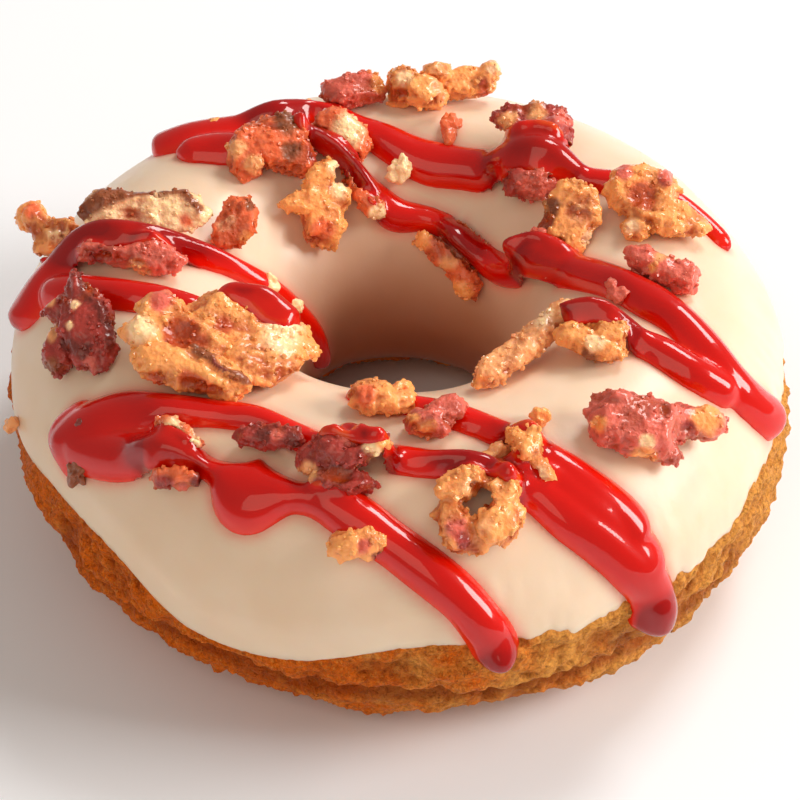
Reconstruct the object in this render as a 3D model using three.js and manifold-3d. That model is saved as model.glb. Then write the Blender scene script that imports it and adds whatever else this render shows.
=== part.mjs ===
// A ring doughnut of fried cake under cream icing, drizzled with red fruit syrup and topped with
// crumbled bacon. Sizes are millimetres and degrees. +Z is up, and the ring stands on z = 0 with its
// hole along the Z axis.
// A place on the ring is two angles: "around" turns about the hole, from +X towards +Y, and "across"
// turns about the ring's own section, from 0 at the outer side over 90 at the crown to 180 at the side
// of the hole.
import * as THREE from "three";
import { mergeVertices } from "three/addons/utils/BufferGeometryUtils.js";
import Module from "manifold-3d";

const wasm = await Module();
wasm.setup();

// Driving dimensions of the cake ring
const OUTER_RADIUS = 45;
const SECTION_HALF_WIDTH = 16.5;
const CROWN_RISE = 17.8;
const EQUATOR_HEIGHT = 13.3;
const BELLY_DEPTH = 13.8;
const SECTION_POWER = 2.1;
const BASE_EDGE = -76;
const CENTRE_RADIUS = OUTER_RADIUS - SECTION_HALF_WIDTH;
// The outline isn't a true circle: waves round the ring as [count, cosine size, sine size]
const OUTLINE_WAVES = [
  [1, 0, -1.0],
  [2, -0.8, -0.9],
  [3, -0.4, 0.2],
];

// Relief of the cake, coat of icing, syrup and clearances
const CRUST_LUMP = 0.9;
const CRUST_CRACK = 1.5;
const ICING_SINK = 1.6;
const ICING_PROUD = 0.05;
const ICING_BEAD = 0.4;
const CONTACT_GAP = 0.3;
const SYRUP_HEIGHT = 1.5;
const SYRUP_SINK = 0.7;

// How finely the solids are cut
const RING_STEPS = 54;
const COVERED_STEPS = 7;
const SYRUP_STEP = 6.4;
const BACON_SECTORS = 8;
const CRUMB_SECTORS = 5;

// The ring is moved by this much, so that the finished part's box is centred on the Z axis
const CENTRING = new THREE.Vector3(0.6, 1.55, 0);

// A bacon piece that leans turns its face this way, up and to the front
const FRONT = new THREE.Vector3(0, -0.76, 0.65);

const { degToRad, lerp, smoothstep } = THREE.MathUtils;
const signedPower = (x, power) => Math.sign(x) * Math.abs(x) ** power;

// Seeded noise

function hash(i, j, k, seed) {
  const place = Math.imul(i, 374761393) ^ Math.imul(j, 668265263) ^ Math.imul(k, 1442695041);
  let h = place ^ Math.imul(seed, 144665);
  h = Math.imul(h ^ (h >>> 13), 1274126177);
  return ((h ^ (h >>> 16)) >>> 0) / 4294967296;
}

// Smooth noise from -1 to 1, whose bumps are about `size` across
function noise(point, size, seed) {
  const scaled = [point.x / size, point.y / size, point.z / size];
  const cell = scaled.map(Math.floor);
  const [u, v, w] = scaled.map((x, axis) => smoothstep(x - cell[axis], 0, 1));
  const corner = (i, j, k) => hash(cell[0] + i, cell[1] + j, cell[2] + k, seed);
  const along = (j, k) => lerp(corner(0, j, k), corner(1, j, k), u);
  return 2 * lerp(lerp(along(0, 0), along(1, 0), v), lerp(along(0, 1), along(1, 1), v), w) - 1;
}

// A smooth curve through evenly spaced values that closes on itself round the ring
function roundTheRing(values, around) {
  const n = values.length;
  const at = ((around / 360) * n + 10 * n) % n;
  const i = Math.floor(at);
  const t = at - i;
  const [a, b, c, d] = [-1, 0, 1, 2].map((k) => values[(i + k + n) % n]);
  return b + 0.5 * t * (c - a + t * (2 * a - 5 * b + 4 * c - d + t * (3 * (b - c) + d - a)));
}

// The ring's skin

function ringPoint(around, across, lift = 0) {
  const u = degToRad(around);
  const v = degToRad(across);
  const section = signedPower(Math.cos(v), 2 / SECTION_POWER);
  const rise = signedPower(Math.sin(v), 2 / SECTION_POWER);
  const wave = OUTLINE_WAVES.reduce((sum, [n, c, s]) => sum + c * Math.cos(n * u) + s * Math.sin(n * u), 0);
  const outward = section * SECTION_HALF_WIDTH + (wave * (section + 1)) / 2;
  const radius = CENTRE_RADIUS + outward + lift * Math.cos(v);
  const height = EQUATOR_HEIGHT + rise * (rise > 0 ? CROWN_RISE : BELLY_DEPTH) + lift * Math.sin(v);
  return new THREE.Vector3(radius * Math.cos(u), radius * Math.sin(u), Math.max(height, 0));
}

function skinNormal(around, across) {
  const here = ringPoint(around, across);
  const round = ringPoint(around + 0.5, across).sub(here);
  const over = ringPoint(around, across + 0.5).sub(here);
  return round.cross(over).normalize();
}

// Where the icing ends, evenly round the ring from +X: low on the outer side, and down in the hole
const OUTER_EDGE = [
  16, 12, 8, 14, 18, 12, 6, 10, 16, 20, 14, 12,
  14, 8, 13, 11, -2, 0, 11, 11, 10, 12, 17, 18,
];
const INNER_EDGE = [214, 218, 222, 218, 212, 216, 222, 220, 214, 210, 216, 220];
const outerEdge = (around) => roundTheRing(OUTER_EDGE, around);
const innerEdge = (around) => roundTheRing(INNER_EDGE, around);

// The cake's lumps and the crack that splits its belly, fading out at the icing and at the base
function crustRelief(around, across) {
  const here = ringPoint(around, across);
  const lumps = 0.7 * noise(here, 7, 3) + 0.5 * noise(here, 3.4, 4);
  const crackAt = -17 + 7 * noise({ x: here.x, y: here.y, z: 0 }, 16, 8);
  const crack = Math.exp(-(((across - crackAt) / 6) ** 2)) * smoothstep(noise(here, 20, 6), -0.6, 0.2);
  const fade = smoothstep(outerEdge(around) - across, 0, 9) * smoothstep(across, -64, -48);
  const holeFade = smoothstep(across - innerEdge(around), 0, 9) * smoothstep(-across, -244, -228);
  return (CRUST_LUMP * (lumps - 0.3) - CRUST_CRACK * crack) * Math.max(fade, holeFade);
}

// The cake dips under the icing, and is craggy where it is bare
function cakeLift(around, across) {
  const fromEdge = Math.min(across - outerEdge(around), innerEdge(around) - across);
  return crustRelief(around, across) - ICING_SINK * smoothstep(fromEdge, -2, 12);
}

// Solids

function geometryOf(positions, index) {
  const geometry = new THREE.BufferGeometry();
  geometry.setAttribute("position", new THREE.Float32BufferAttribute(positions, 3));
  geometry.setIndex(index);
  return geometry;
}

// section(around) gives the same number of points each time, going round the ring's section. From the point
// number `turned` on, the faces are split by their other diagonal, as they run back across the ring
function ringGeometry(section, turned = Infinity) {
  const sections = Array.from({ length: RING_STEPS }, (_, i) => section((360 * i) / RING_STEPS));
  const count = sections[0].length;
  const index = [];
  for (let i = 0; i < RING_STEPS; i++) {
    const next = (i + 1) % RING_STEPS;
    for (let j = 0; j < count; j++) {
      const k = (j + 1) % count;
      const [a, b, c, d] = [i * count + j, next * count + j, next * count + k, i * count + k];
      index.push(...(j < turned ? [a, b, c, a, c, d] : [a, b, d, b, c, d]));
    }
  }
  return geometryOf(sections.flat().flatMap((p) => p.toArray()), index);
}

function solidOf(geometry) {
  const plain = geometry.clone();
  plain.deleteAttribute("normal");
  plain.deleteAttribute("uv");
  const merged = mergeVertices(plain);
  return new wasm.Manifold(
    new wasm.Mesh({
      numProp: 3,
      vertProperties: new Float32Array(merged.attributes.position.array),
      triVerts: new Uint32Array(merged.index.array),
    }),
  );
}

const joined = (solids) => solids.reduce((all, solid) => all.add(solid));

// The largest body of a solid, without the scraps that a cut leaves
function largestBody(solid) {
  const bodies = solid.decompose();
  return bodies.reduce((best, body) => (body.volume() > best.volume() ? body : best));
}

function geometryOfSolid(solid) {
  const mesh = solid.getMesh();
  const geometry = geometryOf(mesh.vertProperties, Array.from(mesh.triVerts));
  geometry.computeVertexNormals();
  return geometry;
}

// The cake and its icing

// Lines round the ring that the cake and the underside of its icing share, so that their facets lie alike
function coveredLines(around) {
  const steps = Array.from({ length: COVERED_STEPS + 1 }, (_, j) => j / COVERED_STEPS);
  return steps.map((t) => lerp(outerEdge(around), innerEdge(around), t));
}

function cakeSection(around, grow = 0) {
  const bare = [0, 0.18, 0.36, 0.5, 0.62, 0.74, 0.87].map((t) => lerp(BASE_EDGE, outerEdge(around), t));
  const holeSide = [0.35, 0.7, 1].map((t) => lerp(innerEdge(around), 180 - BASE_EDGE, t));
  const lines = [...bare, ...coveredLines(around), ...holeSide];
  return lines.map((across) => ringPoint(around, across, cakeLift(around, across) + grow));
}

// The icing's face, `from` millimetres in from its edge: a round lip, a thicker bead, then an even coat
function icingLift(around, across, from) {
  const lip = Math.sqrt(1 - (1 - Math.min(from / 1.8, 1)) ** 2);
  const bead = ICING_BEAD * Math.exp(-(((from - 3.5) / 2.5) ** 2));
  const waves = 0.2 * noise(ringPoint(around, across), 11, 21);
  return lerp(cakeLift(around, across) + CONTACT_GAP + 0.1, ICING_PROUD + bead + waves, lip);
}

function icingFace(around, grow = 0) {
  const [low, high] = [outerEdge(around), innerEdge(around)];
  const span = degToRad(high - low) * SECTION_HALF_WIDTH;
  const lip = [0.25, 1.6];
  const middle = [0.08, 0.18, 0.3, 0.43, 0.57, 0.73].map((t) => t * span);
  return [...lip, ...middle, ...lip.map((x) => span - x).reverse()].map((from) => {
    const across = lerp(low, high, from / span);
    return ringPoint(around, across, icingLift(around, across, Math.min(from, span - from)) + grow);
  });
}

function icingSection(around) {
  const underside = coveredLines(around).reverse();
  const under = underside.map((across) => ringPoint(around, across, cakeLift(around, across) + CONTACT_GAP));
  return [...icingFace(around), ...under];
}

// Everything under the icing's face, grown by the gap that a piece lying on it keeps
function underIcingSection(around) {
  const deep = [170, 90, 10].map((across) => ringPoint(around, across, -8));
  return [...icingFace(around, CONTACT_GAP), ...deep];
}

// Syrup

// Each strand's route as [around, across, half width, rise over what lies beneath]
const STRANDS = {
  back: [
    [137, 52, 2.8, 0], [134, 65, 3.2, 0], [127, 78, 3.0, 0.6], [118, 86, 2.2, 2.4], [108, 85, 1.6, 0.8],
    [98, 100, 2.2, 0.4], [82, 114, 2.8, 0.2], [63, 114, 3.0, 0.8], [50, 107, 2.7, 4.2], [40, 102, 2.5, 4.2],
    [31, 94, 1.9, 0.2], [24, 80, 1.8, 0], [16, 64, 1.7, 0], [8, 52, 1.5, 0],
  ],
  backLower: [[140, 74, 2.2, 0], [135, 83, 2.8, 0], [130, 92, 2.8, 0.4], [126, 98, 2.2, 0.8]],
  middle: [
    [118, 98, 1.6, 2.8], [110, 109, 1.4, 2.6], [103, 122, 1.5, 2.2], [92, 137, 2.0, 0.2], [76, 139, 1.6, 0],
    [60, 143, 1.8, 2.2], [42, 148, 2.0, 0.4], [27, 144, 2.0, 0.2], [13, 132, 2.4, 3.4], [-1, 118, 2.4, 0.4],
    [-14, 96, 2.6, 0.3], [-21, 76, 2.6, 0], [-26, 54, 2.7, 0], [-25, 36, 2.9, 0], [-22, 22, 2.4, 0],
  ],
  right: [
    [-39, 108, 1.3, 4.6], [-33, 98, 1.6, 4.4], [-31, 84, 2.0, 0.8], [-31, 66, 2.4, 0], [-28, 46, 2.2, 0],
  ],
  leftOuter: [
    [180, 29, 2.7, 0], [178, 41, 3.8, 0], [175, 56, 3.0, 1.4], [175, 74, 2.3, 3.6], [176, 90, 2.2, 3.4],
    [174, 106, 1.9, 1.6], [171, 124, 1.8, 0.6], [166, 142, 1.8, 0], [157, 158, 1.7, 0], [145, 178, 1.7, 0],
    [138, 194, 1.3, 0],
  ],
  leftInner: [
    [-181, 48, 2.6, 0], [-175, 68, 2.4, 0], [-169, 86, 2.2, 0], [-163, 102, 2.2, 0], [-158, 114, 1.6, 0],
  ],
  frontUpper: [
    [-151, 30, 2.4, 0], [-147, 44, 3.4, 0], [-142, 60, 2.8, 0], [-131, 76, 2.0, 0], [-119, 84, 1.8, 0],
    [-106, 82, 1.8, 0.6], [-99, 81, 1.6, 3.4], [-90, 79, 1.9, 0.6], [-78, 74, 1.8, 1.8], [-70, 63, 2.3, 0.4],
    [-65, 48, 2.9, 0], [-60, 30, 3.0, 0], [-57, 13, 2.7, 0], [-57, -3, 3.2, 0],
  ],
  frontLower: [
    [-149, 36, 3.0, 0], [-140, 44, 2.8, 0], [-130, 57, 2.2, 3.0], [-122, 59, 1.5, 0.8], [-115, 56, 4.2, 0],
    [-107, 60, 1.9, 0.6], [-100, 59, 2.6, 0.6], [-92, 49, 2.5, 0], [-84, 33, 2.4, 0], [-80, 18, 2.5, 0],
    [-78, 4, 2.5, 0],
  ],
  frontInner: [
    [-105, 111, 1.5, 0], [-98, 112, 1.6, 0.6], [-89, 106, 1.5, 0.4], [-80, 99, 2.0, 0], [-73, 90, 2.0, 0.4],
    [-67, 78, 1.8, 0.8], [-63, 61, 2.6, 0], [-59, 44, 2.8, 0], [-57, 30, 2.6, 0],
  ],
};

// A strand's section as [side, height]: a low dome on the icing, with a foot sunk in it
const SYRUP_SECTION = [[-1, -0.1], [-0.5, 0.9], [0.5, 0.9], [1, -0.1], [0, -1]];

function strandGeometry(route, grow = 0) {
  const curveOf = (points) => new THREE.CatmullRomCurve3(points.map(([x, y]) => new THREE.Vector3(x, y, 0)));
  const places = curveOf(route);
  const sizes = curveOf(route.map(([, , width, rise]) => [width, rise]));
  const skin = route.map(([around, across]) => ringPoint(around, across));
  const reach = skin.slice(1).reduce((sum, point, i) => sum + point.distanceTo(skin[i]), 0);
  const steps = Math.ceil(reach / SYRUP_STEP);
  const rows = [];
  for (let station = 0; station <= steps; station++) {
    const t = station / steps;
    const { x: around, y: across } = places.getPoint(t);
    const { x: halfWidth, y: rise } = sizes.getPoint(t);
    const millimetres = (du, dv) => ringPoint(around + du, across + dv).distanceTo(ringPoint(around, across));
    const [roundScale, overScale] = [millimetres(1, 0), millimetres(0, 1)];
    const slope = places.getTangent(t);
    const heading = new THREE.Vector2(slope.x * roundScale, slope.y * overScale).normalize();
    const row = (push, size) =>
      SYRUP_SECTION.map(([side, height]) => {
        const sideways = side * (halfWidth * size + grow);
        const ahead = push * (halfWidth * 0.75 + grow);
        const du = (ahead * heading.x + sideways * heading.y) / roundScale;
        const dv = (ahead * heading.y - sideways * heading.x) / overScale;
        const top = height > 0 ? height * SYRUP_HEIGHT * size + grow : height * SYRUP_SINK - grow;
        return ringPoint(around + du, across + dv, ICING_PROUD + rise + top);
      });
    if (station === 0) rows.push(row(-1, 0.5));
    rows.push(row(0, 1));
    if (station === steps) rows.push(row(1, 0.5));
  }
  return tubeGeometry(rows);
}

// Rows of points joined one to the next, with flat ends
function tubeGeometry(rows) {
  const n = rows[0].length;
  const last = (rows.length - 1) * n;
  const index = [];
  for (let i = 0; i < rows.length - 1; i++) {
    for (let j = 0; j < n; j++) {
      const [a, b] = [i * n + j, i * n + ((j + 1) % n)];
      index.push(a, b, b + n, a, b + n, a + n);
    }
  }
  for (let j = 1; j < n - 1; j++) {
    index.push(0, j + 1, j, last, last + j, last + j + 1);
  }
  return geometryOf(rows.flat().flatMap((p) => p.toArray()), index);
}

// Bacon

// A piece is a few flat ragged lobes grown together, each as [around, across, height of its middle over
// the skin, half length, half width, thickness, turn, lean], where a lean of 1 faces the front and 0 lies
// on the icing
const BACON = {
  back_slab: [[99, 82, 2.0, 3.9, 1.8, 2.6, 8, 0.6]],
  back_lumps: [[88, 82, 2.2, 2.1, 2.0, 4.0, 0, 0.6], [83, 86, 2.0, 2.1, 1.8, 3.6, 0, 0.6]],
  back_spike: [
    [76, 76, 2.2, 4.0, 1.7, 2.8, 0, 0.7], [81, 79, 3.4, 1.6, 1.2, 2.6, 0, 0.6],
    [71, 74, 3.4, 2.0, 0.9, 2.0, 65, 0.8],
  ],
  cup: [
    [131, 99, 2.2, 3.2, 2.2, 4.0, 75, 0.5], [124, 107, 2.2, 3.9, 2.4, 3.6, -15, 0.5],
    [121, 100, 3.2, 3.2, 1.9, 2.8, 5, 0.4],
  ],
  fork: [
    [120, 123, 2.6, 3.4, 1.3, 2.6, 75, 0.4], [128, 126, 2.0, 2.5, 1.3, 2.2, 10, 0.3],
    [125, 136, 1.9, 2.6, 2.1, 3.2, 80, 0.3], [115, 130, 2.2, 1.7, 1.2, 2.2, 70, 0.3],
  ],
  wedge: [[106, 106, 1.9, 3.7, 2.3, 2.2, -45, 0.3], [103, 126, 1.7, 3.9, 1.7, 2.4, -65, 0.2]],
  rib: [[45, 104, 2.6, 5.1, 4.2, 4.2, 90, 0.3], [54, 91, 3.0, 4.2, 1.9, 3.2, -5, 0.5]],
  two_lobes: [
    [17, 86, 2.6, 3.8, 2.8, 2.8, 0, 0.5], [9, 81, 1.8, 4.7, 2.0, 2.6, -12, 0.3],
    [8, 93, 1.3, 1.6, 1.2, 2.0, 0, 0.2],
  ],
  triangle: [[18, 112, 2.6, 4.0, 2.6, 1.8, 70, 0.6], [22, 119, 1.8, 3.2, 1.4, 1.6, 35, 0.5]],
  over_hole: [[63, 146, 1.6, 3.9, 3.2, 2.0, -40, 0.2], [52, 155, 1.4, 2.8, 1.4, 1.8, -65, 0.2]],
  pink_fold: [[11, 127, 2.0, 3.7, 2.4, 2.8, -5, 0.3]],
  pink_strip: [[-8, 88, 1.7, 3.5, 1.3, 2.2, -38, 0.2], [-10, 79, 1.7, 1.6, 1.2, 2.2, 100, 0.2]],
  stick: [
    [-59, 113, 2.0, 4.4, 1.6, 2.2, 42, 0.3], [-44, 114, 2.8, 4.4, 1.7, 2.4, 38, 0.3],
    [-38, 123, 2.2, 2.6, 1.4, 2.2, 20, 0.3],
  ],
  twist: [
    [-33, 98, 3.6, 4.9, 1.4, 2.6, -8, 0.3], [-40, 97, 1.9, 3.8, 1.6, 2.6, -25, 0.3],
    [-36, 93, 2.6, 1.6, 1.6, 2.4, 0, 0.3],
  ],
  pink_chunk: [
    [-50, 66, 2.6, 4.6, 3.1, 4.0, -10, 0.3], [-43, 57, 2.1, 4.2, 1.8, 2.8, 8, 0.3],
    [-49, 56, 1.5, 2.6, 1.3, 2.4, -15, 0.2], [-53, 76, 2.2, 1.8, 0.9, 2.0, 120, 0.3],
  ],
  gold_knob: [[-69, 74, 2.2, 1.9, 1.5, 3.4, 100, 0.3], [-68, 67, 1.4, 1.6, 1.0, 2.4, -50, 0.2]],
  wreath: [
    [-81, 65, 2.6, 2.6, 1.5, 3.0, 25, 0.3], [-75, 62, 2.4, 2.2, 1.5, 3.0, 80, 0.3],
    [-77, 53, 2.2, 2.5, 2.1, 3.2, 60, 0.3], [-83, 53, 2.1, 2.7, 1.8, 3.0, -65, 0.3],
    [-80, 47, 1.3, 1.5, 1.0, 2.0, 0, 0.2],
  ],
  curl: [
    [-100, 77, 2.8, 2.9, 2.2, 3.4, 20, 0.3], [-96, 75, 3.6, 2.4, 0.9, 2.2, 35, 0.3],
    [-104, 71, 1.9, 2.4, 1.1, 2.2, -35, 0.3], [-99, 67, 1.7, 3.1, 1.2, 2.4, -5, 0.2],
  ],
  dark_sliver: [[-114, 77, 1.6, 3.9, 1.2, 2.2, -6, 0.3]],
  gold_cluster: [[-98, 47, 1.6, 1.9, 1.3, 2.8, 0, 0.2], [-95, 48, 1.6, 1.8, 1.2, 2.6, 0, 0.2]],
  hole_gold: [[-97, 102, 1.8, 2.5, 1.9, 3.0, 0, 0.2], [-91, 102, 1.5, 2.2, 1.3, 2.4, 5, 0.2]],
  hole_pink: [[-85, 90, 1.8, 2.1, 1.5, 2.8, -20, 0.2], [-81, 93, 1.8, 2.0, 1.5, 2.6, 20, 0.2]],
  big_fold: [
    [-139, 109, 3.4, 6.2, 3.5, 3.2, -18, 0.3], [-144, 88, 2.8, 5.3, 2.8, 3.4, -15, 0.4],
    [-152, 89, 3.3, 3.0, 2.1, 3.0, -60, 0.4], [-136, 84, 2.3, 5.7, 2.1, 3.4, -22, 0.3],
    [-128, 103, 2.4, 3.8, 3.0, 3.0, 20, 0.2],
  ],
  dark_leaf: [
    [-161, 67, 2.8, 5.2, 2.7, 2.2, -75, 0.5], [-167, 62, 2.7, 2.4, 1.5, 2.2, 0, 0.5],
    [-162, 56, 1.9, 3.0, 1.7, 2.2, 80, 0.4],
  ],
  stalk: [
    [167, 54, 2.3, 2.4, 1.1, 2.4, 5, 0.6], [167, 49, 3.2, 2.8, 1.3, 2.4, -60, 0.6],
    [164, 45, 4.4, 1.5, 1.1, 2.6, 20, 0.6], [169, 49, 2.0, 1.5, 1.2, 2.2, 0, 0.6],
  ],
  thin_plate: [[167, 87, 2.8, 6.7, 2.2, 1.5, -4, 0.8]],
  pink_slab: [[178, 83, 2.2, 5.1, 2.0, 3.0, -14, 0.5], [-178, 93, 1.8, 3.0, 1.3, 2.4, -4, 0.4]],
  shard: [[159, 117, 2.6, 3.2, 2.0, 2.0, 65, 0.6]],
  red_edge: [
    [-127, 57, 1.8, 2.7, 2.2, 2.4, 0, 0.3], [-129, 63, 2.1, 2.7, 1.1, 2.2, -40, 0.4],
    [-126, 52, 1.5, 2.8, 1.2, 2.4, 4, 0.3],
  ],
};

// Crumbs under 5 mm stay stuck to the icing, each as [around, across, half length, half width]
const CRUMBS = [
  [129, 74, 2.0, 1.3], [88, 120, 2.0, 1.7], [75, 99, 2.3, 1.3], [-16, 101, 2.0, 1.3], [-63, 85, 1.2, 1.2],
  [-74, 77, 2.1, 1.0], [-90, 116, 1.5, 1.2], [167, 140, 1.2, 1.1], [161, 154, 1.3, 1.0], [-144, 31, 1.5, 1.8],
  [-165, 14, 1.2, 1.1], [109, 83, 1.2, 1.0], [-147, 46, 1.0, 1.2],
];
const CRUMB_HEIGHT = 1.5;
const CRUMB_THICKNESS = 2.2;

// A lobe's ragged rim stands out past its half sizes by this much, on average
const RIM_REACH = 1.18;

// A lobe: a flat disc with a ragged rim, domed on both faces and bent over its length
function lobeGeometry(lobe, sectors, seed, grow = 0) {
  const [around, across, height, halfLength, halfWidth, thickness, turn, lean] = lobe;
  const face = skinNormal(around, across).lerp(FRONT, lean).normalize();
  const sideways = new THREE.Vector3(1, 0, 0).addScaledVector(face, -face.x).normalize();
  const upwards = new THREE.Vector3().crossVectors(face, sideways);
  const centre = ringPoint(around, across, height);
  const angle = degToRad(turn);
  const place = (x, y, z) =>
    centre
      .clone()
      .addScaledVector(sideways, x * Math.cos(angle) - y * Math.sin(angle))
      .addScaledVector(upwards, x * Math.sin(angle) + y * Math.cos(angle))
      .addScaledVector(face, z);
  const points = [];
  const ring = (reach, level) => {
    for (let i = 0; i < sectors; i++) {
      const a = (2 * Math.PI * i) / sectors;
      const ragged = reach * (1 + 0.16 * noise({ x: Math.cos(a), y: Math.sin(a), z: 0 }, 0.55, seed));
      const x = ragged * (halfLength + grow) * signedPower(Math.cos(a), 0.8);
      const y = ragged * (halfWidth + grow) * signedPower(Math.sin(a), 0.8);
      const bend = 0.2 * thickness * noise({ x, y, z: 0 }, halfLength, seed + 1);
      const dent = 1 + 0.3 * noise({ x, y, z: level }, 1.6, seed + 2);
      points.push(place(x, y, bend + level * dent * (thickness / 2 + grow)));
    }
  };
  ring(RIM_REACH, 0);
  ring(0.7 * RIM_REACH, 0.9);
  ring(0.7 * RIM_REACH, -0.9);
  points.push(place(0, 0, thickness / 2 + grow), place(0, 0, -thickness / 2 - grow));
  const [rim, shoulder, foot] = [0, 1, 2].map((k) => k * sectors);
  const [top, bottom] = [3 * sectors, 3 * sectors + 1];
  const index = [];
  for (let i = 0; i < sectors; i++) {
    const j = (i + 1) % sectors;
    for (const [low, high] of [[rim, shoulder], [foot, rim]]) {
      index.push(low + i, low + j, high + j, low + i, high + j, high + i);
    }
    index.push(shoulder + i, shoulder + j, top, foot + j, foot + i, bottom);
  }
  return geometryOf(points.flatMap((p) => p.toArray()), index);
}

function baconSolid(lobes, seed, grow = 0) {
  return joined(lobes.map((lobe, i) => solidOf(lobeGeometry(lobe, BACON_SECTORS, 10 * seed + i, grow))));
}

function crumbSolid([around, across, halfLength, halfWidth], seed, grow) {
  const lobe = [around, across, CRUMB_HEIGHT, halfLength, halfWidth, CRUMB_THICKNESS, 40 * seed, 0];
  return solidOf(lobeGeometry(lobe, CRUMB_SECTORS, 500 + seed, grow));
}

// Colours and the finished group

const CAKE = new THREE.MeshStandardMaterial({ color: 0xb5712f, roughness: 0.85, metalness: 0 });
const ICING = new THREE.MeshStandardMaterial({ color: 0xf0d8b8, roughness: 0.35, metalness: 0 });
const CRISP_BACON = new THREE.MeshStandardMaterial({ color: 0xb8683c, roughness: 0.5, metalness: 0 });

const part = new THREE.Group();
const ring = new THREE.Group();
ring.position.copy(CENTRING);
part.add(ring);

function addNode(name, geometry, material) {
  const mesh = new THREE.Mesh(geometry, material);
  mesh.name = name;
  ring.add(mesh);
}

const grownCake = solidOf(ringGeometry((around) => cakeSection(around, CONTACT_GAP - 0.03)));
const strands = Object.values(STRANDS).map((route) => solidOf(strandGeometry(route)));
const crumbs = CRUMBS.map((crumb, seed) => crumbSolid(crumb, seed, 0));
const coat = solidOf(ringGeometry(icingSection, icingFace(0).length));
const toppings = joined([...strands, ...crumbs]).subtract(grownCake);
const icing = largestBody(coat.add(toppings));

// What a piece of bacon is cut back by: the icing, the syrup and crumbs on it, and the pieces before it
const underIcing = solidOf(ringGeometry(underIcingSection));
const grownStrands = Object.values(STRANDS).map((route) => solidOf(strandGeometry(route, CONTACT_GAP)));
const grownCrumbs = CRUMBS.map((crumb, seed) => crumbSolid(crumb, seed, CONTACT_GAP));

addNode("cake_ring", ringGeometry((around) => cakeSection(around)), CAKE);
addNode("icing", geometryOfSolid(icing), ICING);

let taken = joined([underIcing, ...grownStrands, ...grownCrumbs]);
Object.entries(BACON).forEach(([name, lobes], seed) => {
  const piece = largestBody(baconSolid(lobes, seed).subtract(taken));
  addNode(`bacon_${name}`, geometryOfSolid(piece), CRISP_BACON);
  taken = taken.add(baconSolid(lobes, seed, CONTACT_GAP));
});

part.updateMatrixWorld(true);

export default part;
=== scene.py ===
# %% [markdown]
# # A cake doughnut with fruit syrup and crumbled bacon
# The doughnut is a ring of fried cake, dipped in cream icing, crossed by strands of red syrup and topped
# with crisp bacon. The CAD model gives the true form and size of every piece, and this script dresses it: a
# craggy crust, a soft coat, translucent syrup that lies over whatever is beneath it, and granular meat and
# fat. Lengths below are millimetres unless a name says otherwise, because food is easier to think about
# that way.

# %% Load the CAD frame
import math

import bmesh
import bpy
import numpy as np
from mathutils import Matrix, Vector
from mathutils.bvhtree import BVHTree


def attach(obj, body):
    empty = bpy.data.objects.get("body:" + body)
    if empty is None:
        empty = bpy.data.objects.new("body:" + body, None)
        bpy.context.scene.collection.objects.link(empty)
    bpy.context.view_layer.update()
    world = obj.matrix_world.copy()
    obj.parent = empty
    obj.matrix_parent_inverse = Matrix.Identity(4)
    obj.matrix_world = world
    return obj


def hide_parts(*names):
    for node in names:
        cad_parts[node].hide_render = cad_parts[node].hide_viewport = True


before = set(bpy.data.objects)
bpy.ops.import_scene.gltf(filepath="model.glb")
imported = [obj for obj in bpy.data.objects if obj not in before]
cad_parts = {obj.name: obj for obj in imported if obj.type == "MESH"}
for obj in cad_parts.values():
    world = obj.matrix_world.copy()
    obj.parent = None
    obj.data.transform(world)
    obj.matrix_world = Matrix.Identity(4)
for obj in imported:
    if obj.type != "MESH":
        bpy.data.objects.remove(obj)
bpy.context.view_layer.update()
METRE = 0.001
print("CAD nodes:", len(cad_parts))

# %% [markdown]
# ## Noise that never changes
# Food has no two lumps alike, so most of its form is noise. Blender's own random numbers would do, but a
# hash of whole-number grid cells gives the same value for the same place on every run and works on whole
# arrays at once. Blending the eight corners of a cell gives smooth lumps; the distance to scattered points
# gives grains and pits. Each call gives the size of its bumps and then a seed, a whole number that makes it
# differ from the other calls.

# %% Noise helpers


def smoothstep(x, low, high):
    t = np.clip((x - low) / (high - low), 0, 1)
    return t * t * (3 - 2 * t)


def lerp(a, b, t):
    return a + (b - a) * t


def hashed(i, j, k, seed):
    mask = 0xFFFFFFFF
    h = ((i * 374761393) ^ (j * 668265263) ^ (k * 1442695041) ^ (seed * 144665)) & mask
    h = ((h ^ (h >> 13)) * 1274126177) & mask
    return (h ^ (h >> 16)) / 4294967296


def noise(points, size, seed):
    """Smooth noise from -1 to 1, whose bumps are about `size` across."""
    scaled = np.asarray(points, float) / size
    cell = np.floor(scaled).astype(np.int64)
    t = smoothstep(scaled - cell, 0, 1)
    total = 0.0
    for corner in range(8):
        di, dj, dk = corner & 1, corner >> 1 & 1, corner >> 2 & 1
        weight = 1.0
        for axis, step in enumerate((di, dj, dk)):
            weight = weight * (t[..., axis] if step else 1 - t[..., axis])
        value = hashed(cell[..., 0] + di, cell[..., 1] + dj, cell[..., 2] + dk, seed)
        total = total + weight * value
    return 2 * total - 1


def rough(points, size, seed, octaves=3):
    """Noise with finer noise on top, each octave half as big and half as strong."""
    return sum(noise(points, size / 2**n, seed + n) / 2**n for n in range(octaves))


def ridges(points, size, seed, octaves=3):
    """Sharp-crested noise from 0 to 1, for creases and torn edges."""
    crests = ((1 - abs(noise(points, size / 2**n, seed + n))) ** 2 for n in range(octaves))
    return sum(crest / 2 ** (n + 1) for n, crest in enumerate(crests))


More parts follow.
